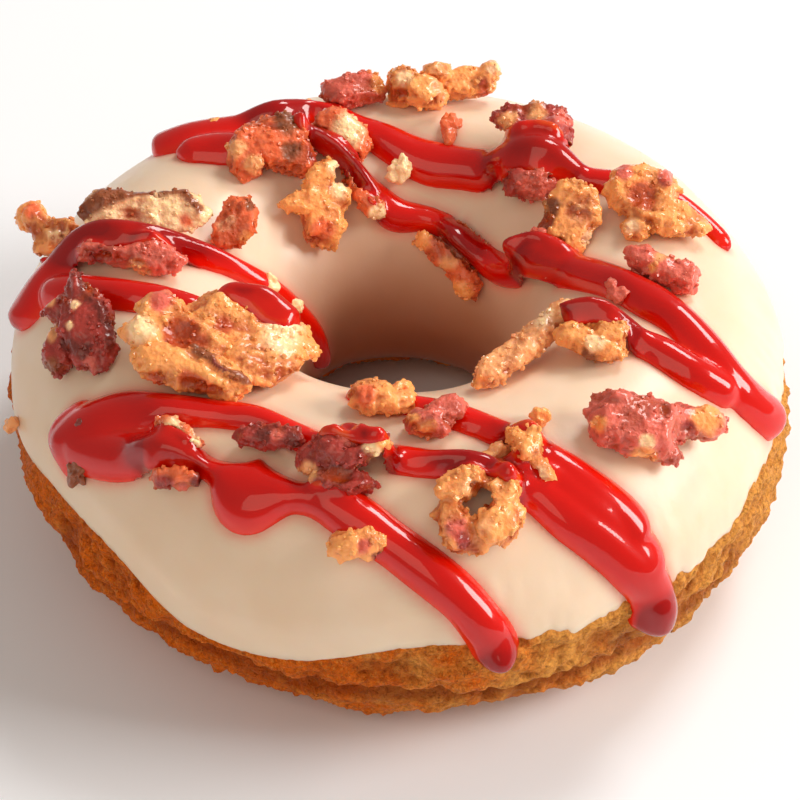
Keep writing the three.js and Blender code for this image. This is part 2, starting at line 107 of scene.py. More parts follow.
def grains(points, size, seed):
    """Distance to the nearest of points scattered one to a cell: round grains with creases between."""
    scaled = np.asarray(points, float) / size
    cell = np.floor(scaled).astype(np.int64)
    nearest = np.full(scaled.shape[:-1], 9.0)
    for step in range(27):
        offset = np.array([step % 3 - 1, step // 3 % 3 - 1, step // 9 - 1])
        there = cell + offset
        i, j, k = (there[..., axis] for axis in range(3))
        site = [there[..., axis] + hashed(i, j, k, seed + axis) for axis in range(3)]
        away = sum((site[axis] - scaled[..., axis]) ** 2 for axis in range(3))
        nearest = np.minimum(nearest, away)
    return np.sqrt(nearest)


print("noise at one place:", round(float(noise([1.2, 3.4, 5.6], 2.0, 7)), 4))

# %% [markdown]
# ## The ring's skin
# Every place on the doughnut is two angles: "around" turns about the hole from the right-hand side, and
# "across" turns about the ring's own section, from 0 at the outer side over 90 at the crown to 180 in the
# hole. A third number, the lift, is the height over that skin. The same sizes drive the CAD model, so what
# is built here from them lies exactly on it, and a bump only has to be written as a change of lift.

# %% Ring sizes and skin
OUTER_RADIUS = 45
SECTION_HALF_WIDTH = 16.5
CENTRE_RADIUS = OUTER_RADIUS - SECTION_HALF_WIDTH
CROWN_RISE = 17.8
EQUATOR_HEIGHT = 13.3
BELLY_DEPTH = 13.8
SECTION_POWER = 2.1
BASE_EDGE = -76
OUTLINE_WAVES = [(1, 0, -1.0), (2, -0.8, -0.9), (3, -0.4, 0.2)]
CENTRING = np.array([0.6, 1.55, 0.0])


def signed_power(x, power):
    return np.sign(x) * np.abs(x) ** power


def ring_points(around, across, lift=0.0):
    u, v = np.broadcast_arrays(np.radians(around), np.radians(across))
    section = signed_power(np.cos(v), 2 / SECTION_POWER)
    rise = signed_power(np.sin(v), 2 / SECTION_POWER)
    wave = sum(c * np.cos(n * u) + s * np.sin(n * u) for n, c, s in OUTLINE_WAVES)
    radius = CENTRE_RADIUS + section * SECTION_HALF_WIDTH + wave * (section + 1) / 2 + lift * np.cos(v)
    height = EQUATOR_HEIGHT + rise * np.where(rise > 0, CROWN_RISE, BELLY_DEPTH) + lift * np.sin(v)
    return np.stack([radius * np.cos(u), radius * np.sin(u), np.maximum(height, 0)], -1)


def unit(vectors):
    return vectors / np.linalg.norm(vectors, axis=-1, keepdims=True)


def skin_normals(around, across):
    here = ring_points(around, across)
    return unit(np.cross(ring_points(around + 0.5, across) - here, ring_points(around, across + 0.5) - here))


print("crown of the ring:", ring_points(0, 90).round(2), "mm")

# %% [markdown]
# ## Where the icing ends
# The coat ran down the outer side and stopped at a wandering line: low in a heavy lobe at the front left,
# ragged on the right where crumbs of crust broke it. The line is a smooth curve through one value every few
# degrees, and the ragged part is fine noise that is let in only on the right.

# %% Icing edges
OUTER_EDGE = [16, 12, 8, 14, 18, 12, 6, 10, 16, 20, 14, 12, 14, 8, 13, 11, -2, 0, 11, 11, 10, 12, 17, 18]
INNER_EDGE = [214, 218, 222, 218, 212, 216, 222, 220, 214, 210, 216, 220]
EDGE_NICKS = 0.9
RAGGED_NICKS = 3.6
SMOOTH_SIDE, RAGGED_SIDE = -130, -35


def smooth_between(a, b, c, d, t):
    """A smooth curve from b to c, bent by the values before and after them."""
    return b + 0.5 * t * (c - a + t * (2 * a - 5 * b + 4 * c - d + t * (3 * (b - c) + d - a)))


def round_the_ring(values, around):
    values = np.asarray(values, float)
    n = len(values)
    at = np.asarray(around) / 360 * n % n
    i = np.floor(at).astype(int)
    t = at - i
    return smooth_between(*(values[(i + k) % n] for k in (-1, 0, 1, 2)), t)


def on_circle(around, radius=OUTER_RADIUS):
    u = np.radians(around)
    return np.stack([radius * np.cos(u), radius * np.sin(u), 0 * u], -1)


def outer_edge(around):
    smooth_side = smoothstep(np.cos(np.radians(around - SMOOTH_SIDE)), 0.55, 0.8)
    ragged_side = smoothstep(np.cos(np.radians(around - RAGGED_SIDE)), 0.35, 0.85)
    nicks = 0.6 * noise(on_circle(around), 2.6, 61) + 0.5 * noise(on_circle(around), 1.1, 62)
    reach = lerp(EDGE_NICKS, RAGGED_NICKS, ragged_side) * (1 - smooth_side)
    return round_the_ring(OUTER_EDGE, around) + reach * nicks


def inner_edge(around):
    return round_the_ring(INNER_EDGE, around)


print("lowest edge:", round(float(outer_edge(np.arange(0.0, 360)).min()), 1), "degrees")

# %% [markdown]
# ## Turning arrays into meshes
# A ring is a grid of points that closes on itself both ways, so one helper joins any such grid. Another
# makes a mesh object from points in millimetres, moved so that the finished part's box is centred on the Z
# axis.

# %% Mesh helpers


def ring_faces(rows, columns):
    i, j = np.meshgrid(np.arange(rows), np.arange(columns), indexing="ij")
    corners = [(i, j), (i + 1, j), (i + 1, j + 1), (i, j + 1)]
    return np.stack([(a % rows) * columns + b % columns for a, b in corners], -1).reshape(-1, 4)


def new_mesh(name, points, faces):
    mesh = bpy.data.meshes.new(name)
    mesh.from_pydata(((points.reshape(-1, 3) + CENTRING) * METRE).tolist(), [], np.array(faces).tolist())
    return mesh


def new_object(name, points, faces):
    return show_mesh(name, new_mesh(name, points, faces))


def show_mesh(name, mesh, smooth=True):
    mesh.name = name
    mesh.polygons.foreach_set("use_smooth", [smooth] * len(mesh.polygons))
    piece = bpy.data.objects.new(name, mesh)
    bpy.context.scene.collection.objects.link(piece)
    return piece


def places(mesh):
    """The vertices of a mesh as an array, in millimetres before the centring."""
    flat = np.empty(len(mesh.vertices) * 3)
    mesh.vertices.foreach_get("co", flat)
    return flat.reshape(-1, 3) / METRE - CENTRING


def normals(mesh):
    flat = np.empty(len(mesh.vertices) * 3)
    mesh.vertices.foreach_get("normal", flat)
    return flat.reshape(-1, 3)


def move_to(mesh, points):
    mesh.vertices.foreach_set("co", ((points + CENTRING) * METRE).ravel())
    mesh.update()


def joined(parts):
    """One set of points and faces from several, each given as its points and its faces."""
    all_points, all_faces, used = [], [], 0
    for points, faces in parts:
        all_points.append(points)
        all_faces.extend([[v + used for v in face] for face in faces])
        used += len(points)
    return np.vstack(all_points), all_faces


def tree_of(pieces):
    """A search tree over pieces, and the number of the piece that each of its faces belongs to."""
    points, faces = joined((places(p.data), [face.vertices for face in p.data.polygons]) for p in pieces)
    owners = np.repeat(np.arange(len(pieces)), [len(p.data.polygons) for p in pieces])
    return BVHTree.FromPolygons(points.tolist(), faces), owners


def keep_value(mesh, name, values):
    attribute = mesh.attributes.new(name, "FLOAT", "POINT")
    attribute.data.foreach_set("value", np.asarray(values, np.float32))


def keep_colour(mesh, name, colours):
    attribute = mesh.attributes.new(name, "FLOAT_COLOR", "POINT")
    full = np.ones((len(colours), 4), np.float32)
    full[:, :3] = colours
    attribute.data.foreach_set("color", full.ravel())


def dress(piece, material, slot, *nodes):
    piece.data.materials.clear()
    piece.data.materials.append(material)
    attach(piece, "root")
    if nodes:
        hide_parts(*nodes)
    triangles = sum(len(face.vertices) - 2 for face in piece.data.polygons)
    print(f"{piece.name}: {triangles} triangles")


# %% [markdown]
# ## Building materials
# A material is a small graph of nodes. These helpers add a node, set or link its sockets by name, and mix
# two colours. Colours are written as the 0-255 values that an image shows and turned into the linear light
# that a renderer works with. Texture patterns read the object's own coordinates, turned into millimetres.

# %% Material helpers


def shown(red, green, blue):
    def linear(value):
        c = value / 255
        return c / 12.92 if c <= 0.04045 else ((c + 0.055) / 1.055) ** 2.4

    return (linear(red), linear(green), linear(blue), 1.0)


def add(tree, kind, values=None, **settings):
    """Adds a node. A value that is a socket is linked to the input of that name; any other is set on it."""
    node = tree.nodes.new(kind)
    for name, setting in settings.items():
        setattr(node, name, setting)
    for name, value in (values or {}).items():
        if isinstance(value, bpy.types.NodeSocket):
            tree.links.new(value, node.inputs[name])
        else:
            node.inputs[name].default_value = value
    return node


def mixed(tree, factor, first, second):
    """One colour mixed into another: the node's sockets 6 and 7 are its colours, and 2 is their mix."""
    return add(tree, "ShaderNodeMix", {0: factor, 6: first, 7: second}, data_type="RGBA").outputs[2]


def ramp(tree, factor, stops):
    """A colour ramp through (position, colour) stops."""
    node = add(tree, "ShaderNodeValToRGB", {"Fac": factor})
    elements = node.color_ramp.elements
    while len(elements) < len(stops):
        elements.new(0.5)
    for element, (position, colour) in zip(elements, stops):
        element.position = position
        element.color = colour
    return node.outputs["Color"]


def span(tree, value, low, high, to_low=0.0, to_high=1.0):
    names = {"Value": value, "From Min": low, "From Max": high, "To Min": to_low, "To Max": to_high}
    return add(tree, "ShaderNodeMapRange", names).outputs["Result"]


def millimetres(tree):
    object_place = add(tree, "ShaderNodeTexCoord").outputs["Object"]
    values = {0: object_place, "Scale": 1 / METRE}
    return add(tree, "ShaderNodeVectorMath", values, operation="SCALE").outputs[0]


def maths(tree, operation, first, second):
    return add(tree, "ShaderNodeMath", {0: first, 1: second}, operation=operation).outputs[0]


def kept(tree, name, output="Fac"):
    """A value or a colour that was kept on the mesh."""
    return add(tree, "ShaderNodeAttribute", attribute_name=name).outputs[output]


def speckle(tree, place, size, detail=4.0, roughness=0.6):
    values = {"Vector": place, "Scale": 1 / size, "Detail": detail, "Roughness": roughness}
    return add(tree, "ShaderNodeTexNoise", values).outputs["Fac"]


def cells(tree, place, size):
    return add(tree, "ShaderNodeTexVoronoi", {"Vector": place, "Scale": 1 / size}).outputs["Distance"]


def bumped(tree, height, depth, under=None):
    """A bump whose full swing stands `depth` millimetres high."""
    values = {"Height": height, "Strength": 1.0, "Distance": depth * METRE}
    if under is not None:
        values["Normal"] = under
    return add(tree, "ShaderNodeBump", values).outputs["Normal"]


def new_material(name, **constants):
    """A material with its shader, whose named sockets are set from constants such as Coat_Weight=0.5."""
    material = bpy.data.materials.new(name)
    material.use_nodes = True
    tree = material.node_tree
    shader = tree.nodes["Principled BSDF"]
    for key, value in constants.items():
        shader.inputs[key.replace("_", " ")].default_value = value
    return material, tree, shader


def feed(shader, **sockets):
    """Links sockets to the shader's inputs, named as in Base_Color."""
    for key, socket in sockets.items():
        shader.id_data.links.new(socket, shader.inputs[key.replace("_", " ")])


# %% [markdown]
# ## The cake
# A cake doughnut is fried batter: its bare belly is craggy and porous, with a crack that ran round it as it
# rose. The ring is a grid, fine where the crust is bare and coarse where icing hides it. Lumps and the
# crack repeat the CAD model; ledges, crumbs and pits are added, because they are too small for it.
# Displacing the grid itself, not only its shading, keeps the silhouette rough, which is what makes crust
# look baked.

# %% Cake relief
CRUST_LUMP = 0.9
CRUST_CRACK = 1.5
CRACK_ACROSS, CRACK_WANDER, CRACK_WIDTH = -17.0, 7, 6
OUTER_BASE_FADE, HOLE_BASE_FADE = (-64, -48), (-244, -228)
ICING_SINK = 1.6
LEDGE_DEPTH = 0.55
LEDGE_SPACING = 2.6
CRUMB_DEPTH = 0.95
CRUMB_SIZE, FINE_CRUMB_SIZE = 1.7, 0.95
PIT_DEPTH = 0.7
PIT_SPACING = 1.9
UNDER_ICING = 2.0


def bare_share(around, across, ramp_width, under=0.0):
    """1 on bare crust, falling to 0 at the icing's edges, or `under` degrees past them, and at the base."""
    outer = smoothstep(outer_edge(around) + under - across, 0, ramp_width)
    inner = smoothstep(across - inner_edge(around), 0, ramp_width)
    outer_fade, hole_fade = smoothstep(across, *OUTER_BASE_FADE), smoothstep(-across, *HOLE_BASE_FADE)
    return np.maximum(outer * outer_fade, inner * hole_fade)


def crust_relief(around, across):
    here = ring_points(around, across)
    lumps = 0.7 * noise(here, 7, 3) + 0.5 * noise(here, 3.4, 4)
    flat = here * [1, 1, 0]
    crack_at = CRACK_ACROSS + CRACK_WANDER * noise(flat, 16, 8)
    crack = np.exp(-(((across - crack_at) / CRACK_WIDTH) ** 2)) * smoothstep(noise(here, 20, 6), -0.6, 0.2)
    return (CRUST_LUMP * (lumps - 0.3) - CRUST_CRACK * crack) * bare_share(around, across, 9)


def cake_lift(around, across):
    from_edge = np.minimum(across - outer_edge(around), inner_edge(around) - across)
    return crust_relief(around, across) - ICING_SINK * smoothstep(from_edge, -2, 12)


def crust_detail(around, across):
    """Ledges along the ring, lumps of crumb and pits, in millimetres."""
    here = ring_points(around, across)
    layered = here * [0.3, 0.3, 1.25]
    ledges = ridges(layered, LEDGE_SPACING, 31) - 0.45
    crumbs = 0.5 * rough(here, CRUMB_SIZE, 35) + 0.5 * (0.5 - grains(here, FINE_CRUMB_SIZE, 38))
    pits = smoothstep(0.42 - grains(here, PIT_SPACING, 41), 0, 0.3)
    pits = pits * smoothstep(noise(here, 5, 44), -0.1, 0.5)
    depth = LEDGE_DEPTH * ledges + CRUMB_DEPTH * crumbs - PIT_DEPTH * pits
    return depth * bare_share(around, across, 2.5, UNDER_ICING)


print("deepest relief:", round(float(cake_lift(np.arange(0.0, 360), CRACK_ACROSS).min()), 2), "mm")

# %% Cake mesh
RING_STEPS = 800
BARE_LINES, COVERED_LINES, HOLE_LINES = 88, 12, 20


def ring_grid(parts):
    """Angles of a grid round the ring. Each part is (from, to, lines), with edges that follow the ring."""
    around = np.arange(RING_STEPS) * 360 / RING_STEPS
    columns = []
    for start, end, lines in parts:
        for t in np.arange(lines) / lines:
            columns.append(lerp(start(around), end(around), t))
    across = np.stack(columns, 1)
    return np.repeat(around[:, None], across.shape[1], 1), across


def base_outside(around):
    return 0 * around + BASE_EDGE


def base_inside(around):
    return 0 * around + 180 - BASE_EDGE


around, across = ring_grid(
    [
        (base_outside, outer_edge, BARE_LINES),
        (outer_edge, inner_edge, COVERED_LINES),
        (inner_edge, base_inside, HOLE_LINES),
        (base_inside, base_inside, 1),
    ]
)
cake_points = ring_points(around, across, cake_lift(around, across) + crust_detail(around, across))
cake = new_object("cake_crust", cake_points, ring_faces(*across.shape))
hollow = crust_detail(around, across) + crust_relief(around, across)
keep_value(cake.data, "hollow", smoothstep(-hollow, -0.4, 1.5).ravel())
print("cake box:", places(cake.data).min(0).round(1), places(cake.data).max(0).round(1))

# %% [markdown]
# ## Crust colour
# Cracks and pits are painted dark as shade, from the relief kept on the mesh. Blotches of gold and brown lie
# over that, then dark and crisp pale flecks. The right is painted paler as lit, the left darker as shade.
# A little light passes into the crumb, which the subsurface socket gives. The swatches are stronger than
# the crust looks, because the flecks and the warm light take some of their depth away.

# %% Crust material
CRUST_BROWN = shown(248, 118, 2)
CRUST_GOLD = shown(255, 176, 80)
CRUST_DARK = shown(160, 62, 0)
# Painted light and shade: the crust is painted darker towards the left, as shade, and paler towards the
# right, as lit
SHADED_SIDE, PAINTED_LIT_SIDE = -20, 38

crust, tree, shader = new_material(
    "crust", Roughness=0.5, Specular_IOR_Level=0.2, Subsurface_Weight=0.04, Subsurface_Scale=0.0006, IOR=1.45
)
place = millimetres(tree)
rightward = add(tree, "ShaderNodeSeparateXYZ", {"Vector": place}).outputs["X"]
# Painted light: paler towards the lit right, darker towards the shaded left
painted_side_light = span(tree, rightward, SHADED_SIDE, PAINTED_LIT_SIDE, -0.22, 0.30)
blotch = maths(tree, "ADD", speckle(tree, place, 4.5), painted_side_light)
brown = mixed(tree, span(tree, blotch, 0.36, 0.66), CRUST_BROWN, CRUST_GOLD)
fleck = span(tree, speckle(tree, place, 0.55, 5.0, 0.7), 0.42, 0.66)
flecked = mixed(tree, maths(tree, "MULTIPLY", fleck, 0.65), brown, CRUST_DARK)
crisp = span(tree, speckle(tree, place, 0.4, 3.0, 0.7), 0.56, 0.66, 0.0, 0.6)
flecked = mixed(tree, crisp, flecked, CRUST_GOLD)
# Painted shade: the kept hollows of cracks and pits are darkened towards CRUST_DARK
painted_crack_shade = span(tree, kept(tree, "hollow"), 0.3, 0.9, 0.0, 0.7)
coarse = bumped(tree, speckle(tree, place, 0.9, 3.0, 0.6), 0.7)
pitted = bumped(tree, cells(tree, place, 0.6), 0.35, coarse)
grainy = bumped(tree, speckle(tree, place, 0.28, 4.0, 0.7), 0.35, pitted)
feed(shader, Base_Color=mixed(tree, painted_crack_shade, flecked, CRUST_DARK), Normal=grainy)
dress(cake, crust, "cake", "cake_ring")

# %% [markdown]
# ## The icing
# The doughnut was dipped, so its coat is even on the crown, rolls into a thicker bead just inside its edge
# and ends in a round lip. The face is a grid set by its distance from the edge. The edge and the underside
# run a little way down in the crust, so no dark gap shows there, and the coat is one closed skin. Only
# slow, shallow waves are left on it: real icing levels itself, and anything sharper would read as clay.

# %% Icing mesh
EDGE_DEPTH = 0.35
ICING_PROUD = 0.05
ICING_BEAD = 0.4
BEAD_PLACE, BEAD_WIDTH = 3.5, 2.5
LIP_WIDTH = 1.2
FACE_LINES, LIP_LINES, UNDER_LINES = 84, 8, 12
# Painted shade: the icing is coloured dark brown down into the hole, between these angles across
HOLE_SHADE_FROM, HOLE_SHADE_FULL = 122, 200


def from_edge_mm(around, across):
    low, high = outer_edge(around), inner_edge(around)
    return np.radians(np.minimum(across - low, high - across)) * SECTION_HALF_WIDTH


def buried(around, across):
    """A little way down in the crust, so that no gap shows at the coat's edge."""
    return cake_lift(around, across) + crust_detail(around, across) - EDGE_DEPTH


def icing_lift(around, across):
    start = np.maximum(from_edge_mm(around, across), 0)
    lip = np.sqrt(1 - (1 - np.minimum(start / LIP_WIDTH, 1)) ** 2)
    bead = ICING_BEAD * np.exp(-(((start - BEAD_PLACE) / BEAD_WIDTH) ** 2))
    here = ring_points(around, across)
    waves = 0.2 * noise(here, 11, 21) + 0.05 * noise(here, 4.5, 22)
    return lerp(buried(around, across), ICING_PROUD + bead + waves, lip)


def lip_end(around):
    return outer_edge(around) + np.degrees(LIP_WIDTH / SECTION_HALF_WIDTH)


def far_lip(around):
    return inner_edge(around) - np.degrees(LIP_WIDTH / SECTION_HALF_WIDTH)


around, across = ring_grid(
    [
        (outer_edge, lip_end, LIP_LINES),
        (lip_end, far_lip, FACE_LINES),
        (far_lip, inner_edge, LIP_LINES),
        (inner_edge, outer_edge, UNDER_LINES),
    ]
)
lift = icing_lift(around, across)
lift[:, -UNDER_LINES:] = buried(around, across)[:, -UNDER_LINES:]
icing = new_object("icing_coat", ring_points(around, across, lift), ring_faces(*across.shape))
keep_value(icing.data, "in_hole", smoothstep(across, HOLE_SHADE_FROM, HOLE_SHADE_FULL).ravel())
print("icing box:", places(icing.data).min(0).round(1), places(icing.data).max(0).round(1))

# %% [markdown]
# ## The camera's view of a place
# The bacon's colours have to sit where the photograph shows them. The camera is set up first as plain
# numbers, and a helper says which pixel of an 800 by 800 picture a point lands on. A patch of fat or meat
# can then be written as a place in the picture with a size, which is how the eye finds it.

# %% Camera numbers
ELEVATION = math.radians(40.5)
DISTANCE = 350
FOCAL_PX = 3052
PICTURE_PX = 800
ROLL = math.radians(1.2)
BACK = np.array([0, -math.cos(ELEVATION), math.sin(ELEVATION)])
UP = np.array([0, math.sin(ELEVATION), math.cos(ELEVATION)])
RIGHT = np.array([1.0, 0, 0])
MID_HEIGHT = 14.5
AIM_DROP, AIM_LEFT = 2.75, 0.115
AIM = CENTRING + [0, 0, MID_HEIGHT] - AIM_DROP * UP - AIM_LEFT * RIGHT
EYE = AIM + DISTANCE * BACK


def pixels(points):
    """Where points, in millimetres before the centring, land in the picture."""
    away = points + CENTRING - EYE
    depth = -(away @ BACK)
    x, y = away @ RIGHT / depth * FOCAL_PX, away @ UP / depth * FOCAL_PX
    turned_x = x * math.cos(ROLL) - y * math.sin(ROLL)
    turned_y = x * math.sin(ROLL) + y * math.cos(ROLL)
    return np.stack([PICTURE_PX / 2 + turned_x, PICTURE_PX / 2 - turned_y], -1)


print("ring's middle lands on pixel", pixels(np.array([0, 0, MID_HEIGHT])).round(1))

# %% [markdown]
# ## Bacon
# Crisp bacon is folded fat and lean: amber, granular fat that glints, pink fibrous meat, and thin edges
# burnt dark. Each CAD piece has the true place, size and folds, but flat facets. A voxel remesh gives it an
# even fine skin, and displacement along the normals adds folds, fibres that run along the piece, fine
# grains and a torn rim. Patches then say what is fat and what is meat, with borders bent by noise so that
# none is a circle, and some patches also press the surface in or raise it, as a hollow or a curled rim.

# %% Bacon patches
TONES = {
    "gold": shown(240, 146, 64),
    "amber": shown(214, 86, 12),
    "pale": shown(250, 196, 144),
    "tan": shown(226, 146, 84),
    "pink": shown(204, 84, 62),
    "meat": shown(156, 34, 16),
    "dark": shown(112, 26, 8),
    "brown": shown(132, 62, 14),
}
# Each piece: its main tone, then patches. A patch is a pixel, or a line of them, as across and down by turns,
# then its radius in pixels, how far it is pushed out in mm, and its tone
BACON_PATCHES = {
    "back_slab": ("pink", [
        (306, 99, 12, 0, "tan"), (378, 82, 10, 0.2, "gold"), (352, 99, 12, 0, "pink"),
    ]),
    "back_lumps": ("gold", [
        (405, 77, 8, 0.2, "pale"), (401, 91, 5, -0.4, "brown"), (436, 87, 8, 0, "tan"),
    ]),
    "back_spike": ("gold", [
        (492, 69, 6, 0, "pale"), (484, 85, 6, -0.3, "meat"), (436, 71, 8, 0.2, "tan"),
        (487, 95, 8, 0, "amber"),
    ]),
    "cup": ("amber", [
        (235, 150, 11, 0.3, "tan"), (254, 163, 10, 0.3, "tan"), (288, 120, 15, 0, "brown"),
        (290, 150, 11, -0.3, "brown"), (316, 150, 12, -0.5, "meat"),
    ]),
    "fork": ("gold", [
        (334, 168, 9, 0, "pale"), (339, 189, 9, 0.2, "pale"), (321, 232, 13, 0, "amber"),
        (296, 204, 9, 0.1, "gold"),
    ]),
    "wedge": ("amber", [
        (347, 131, 17, 0, "pale"), (357, 195, 13, -0.2, "amber"), (377, 212, 9, 0.2, "pale"),
    ]),
    "rib": ("meat", [
        (538, 112, 12, 0.2, "tan"), (510, 122, 9, 0.2, "tan"), (563, 118, 9, 0.1, "pink"),
        (576, 128, 5, 0, "brown"), (543, 182, 22, 0.1, "pink"),
    ]),
    "two_lobes": ("gold", [
        (624, 173, 9, 0.2, "pink"), (665, 176, 10, 0.2, "pink"), (642, 196, 15, -0.2, "amber"),
        (681, 212, 15, 0.1, "gold"), (632, 229, 8, 0, "pale"),
    ]),
    "triangle": ("gold", [
        (543, 222, 13, -0.1, "brown"), (553, 206, 8, 0, "brown"), (602, 196, 9, 0.2, "gold"),
        (589, 240, 9, 0, "pale"), (579, 212, 12, -0.2, "tan"),
    ]),
    "over_hole": ("amber", [
        (423, 242, 10, 0.3, "gold"), (464, 288, 9, 0.2, "gold"), (479, 224, 8, 0.2, "gold"),
        (450, 262, 10, 0, "tan"),
    ]),
    "pink_fold": ("pink", [(520, 268, 9, 0, "pink"), (551, 264, 8, 0.2, "pale")]),
    "pink_strip": ("pink", [
        (663, 256, 8, 0, "tan"), (655, 268, 6, 0, "gold"), (691, 279, 9, 0.2, "pink"),
    ]),
    "stick": ("tan", [
        (543, 316, 11, 0, "pale"), (512, 334, 7, 0.1, "meat"), (502, 362, 11, 0, "tan"),
        (477, 385, 11, 0, "gold"), (566, 312, 8, 0.2, "pale"),
    ]),
    "twist": ("gold", [
        (576, 293, 6, 0, "amber"), (645, 311, 8, 0, "dark"), (589, 357, 9, 0, "brown"),
        (617, 340, 10, 0.2, "gold"), (596, 345, 8, 0.1, "pale"),
    ]),
    "pink_chunk": ("pink", [
        (600, 424, 9, 0, "gold"), (647, 443, 8, 0.2, "pale"), (645, 460, 14, 0, "gold"),
        (665, 410, 6, -0.6, "dark"), (706, 420, 15, 0.1, "gold"), (734, 415, 6, 0, "brown"),
        (690, 427, 7, -0.2, "meat"),
    ]),
    "gold_knob": ("gold", [(527, 443, 8, 0.2, "gold"), (543, 472, 7, 0, "pale")]),
    "wreath": ("gold", [
        (466, 488, 10, 0.1, "tan"), (476, 486, 6, -0.2, "brown"), (487, 500, 6, -0.7, "brown"),
        (459, 528, 15, 0.1, "pink"), (463, 540, 10, 0, "meat"), (502, 512, 12, 0.2, "gold"),
        (484, 523, 8, 0, "tan"),
    ]),
    "curl": ("meat", [
        (352, 433, 12, 0.1, "pink"), (374, 450, 10, 0.3, "pale"), (384, 444, 8, 0.3, "gold"),
        (339, 474, 12, -0.6, "dark"), (311, 470, 9, 0.1, "tan"), (362, 479, 10, 0, "meat"),
    ]),
    "dark_sliver": ("meat", [
        (262, 434, 9, 0, "dark"), (292, 440, 9, 0, "dark"), (277, 434, 7, 0, "pink"),
    ]),
    "gold_cluster": ("gold", [
        (342, 545, 9, 0.2, "gold"), (365, 543, 9, 0.1, "pink"), (376, 554, 5, 0, "dark"),
    ]),
    "hole_gold": ("gold", [(365, 395, 12, 0.1, "amber"), (385, 402, 10, 0.1, "gold")]),
    "hole_pink": ("pink", [
        (423, 431, 11, 0, "gold"), (440, 408, 10, 0.2, "pink"), (412, 418, 8, 0, "gold"),
    ]),
    "big_fold": ("gold", [
        (163, 303, 12, 0.2, "pink"), (143, 330, 14, 0, "pale"), (178, 332, 196, 340, 14, -0.9, "amber"),
        (192, 346, 212, 361, 230, 371, 244, 384, 5, 0.5, "brown"), (214, 364, 226, 371, 3, 0.2, "dark"),
        (170, 352, 191, 367, 212, 378, 9, 0.3, "gold"), (185, 378, 205, 388, 8, -0.2, "amber"),
        (155, 385, 13, 0, "amber"), (242, 306, 13, 0, "gold"), (281, 335, 20, 0.1, "pale"),
        (266, 316, 10, 0, "pink"), (230, 340, 12, 0, "gold"), (268, 372, 13, 0, "gold"),
        (225, 325, 9, -0.3, "amber"),
    ]),
    "dark_leaf": ("meat", [
        (84, 330, 18, 0.1, "meat"), (100, 305, 108, 325, 108, 345, 6, 0.3, "dark"),
        (84, 275, 88, 296, 9, 0, "dark"), (70, 345, 84, 352, 8, 0, "dark"), (75, 307, 5, 0.3, "pale"),
        (70, 327, 5, 0.3, "pale"), (53, 334, 8, 0, "tan"), (48, 298, 8, 0.1, "tan"),
        (52, 366, 10, 0, "brown"), (92, 365, 9, 0, "pink"),
    ]),
    "stalk": ("gold", [(33, 212, 8, 0, "amber"), (58, 236, 10, 0, "pale"), (40, 243, 8, 0, "gold")]),
    "thin_plate": ("pale", [
        (118, 214, 150, 208, 178, 212, 9, -0.2, "pale"), (80, 214, 98, 200, 118, 194, 10, 0.2, "brown"),
        (118, 192, 153, 190, 178, 195, 200, 208, 6, 0.2, "brown"), (186, 222, 7, 0, "amber"),
    ]),
    "pink_slab": ("pink", [
        (110, 243, 14, 0, "pink"), (138, 268, 12, 0, "tan"), (173, 262, 10, 0.1, "pink"),
        (98, 255, 9, 0, "meat"),
    ]),
    "shard": ("amber", [(250, 207, 7, 0, "brown"), (228, 222, 9, 0, "pale"), (245, 238, 9, 0, "gold")]),
    "red_edge": ("amber", [
        (173, 428, 10, 0.1, "pale"), (192, 442, 9, 0.1, "pale"), (166, 484, 11, 0, "meat"),
        (199, 481, 9, 0, "dark"), (184, 488, 6, 0, "pink"),
    ]),
}
print(len(BACON_PATCHES), "bacon pieces,", sum(len(p) for _, p in BACON_PATCHES.values()), "patches")

# %% Bacon skin helpers
BACON_VOXEL = 0.235
SWELL = 0.12
FIBRE_STRETCH = 0.65
FOLD, CREASE, FIBRE, TEAR = 0.4, 0.5, 0.45, 1.3
PATCH_BEND = 3.5


def evaluated_mesh(piece):
    """The piece's mesh with its modifiers applied, and the piece itself removed."""
    graph = bpy.context.evaluated_depsgraph_get()
    mesh = bpy.data.meshes.new_from_object(piece.evaluated_get(graph))
    bpy.data.objects.remove(piece)
    return mesh


def voxel_skin(mesh, voxel, smoothing):
    """An even skin round a mesh, smoothed a few times."""
    piece = show_mesh("voxel_work", mesh)
    remesh = piece.modifiers.new("even_skin", "REMESH")
    remesh.mode = "VOXEL"
    remesh.voxel_size = voxel * METRE
    smooth = piece.modifiers.new("soften", "SMOOTH")
    smooth.factor = 0.5
    smooth.iterations = smoothing
    return evaluated_mesh(piece)


def welded(mesh):
    """A copy of a mesh with its split corners joined again."""
    work = bmesh.new()
    work.from_mesh(mesh)
    bmesh.ops.remove_doubles(work, verts=work.verts, dist=0.005 * METRE)
    copy = mesh.copy()
    work.to_mesh(copy)
    work.free()
    return copy


def distance_to_line(points, line):
    """Distance in the picture to a line of pixels, or to a single one."""
    nearest = np.linalg.norm(points - line[0], axis=-1)
    for start, end in zip(line, line[1:]):
        step = end - start
        t = np.clip((points - start) @ step / (step @ step), 0, 1)
        nearest = np.minimum(nearest, np.linalg.norm(points - start - t[:, None] * step, axis=-1))
    return nearest


def patch_blend(points, main, patches):
    """Colour and push of every point, from the main tone and the patches over it."""
    bend = np.stack([rough(points, 2.0, 71), rough(points, 2.0, 75)], -1) * PATCH_BEND
    seen = pixels(points) + bend
    colour = np.tile(np.array(TONES[main][:3]), (len(points), 1))
    push = np.zeros(len(points))
    for *line, radius, depth, tone in patches:
        away = distance_to_line(seen, np.array(line, float).reshape(-1, 2)) / radius
        share = smoothstep(-away, -1.25, -0.55)
        colour = lerp(colour, np.array(TONES[tone][:3]), share[:, None])
        push += depth * np.exp(-(away**2))
    return colour, push


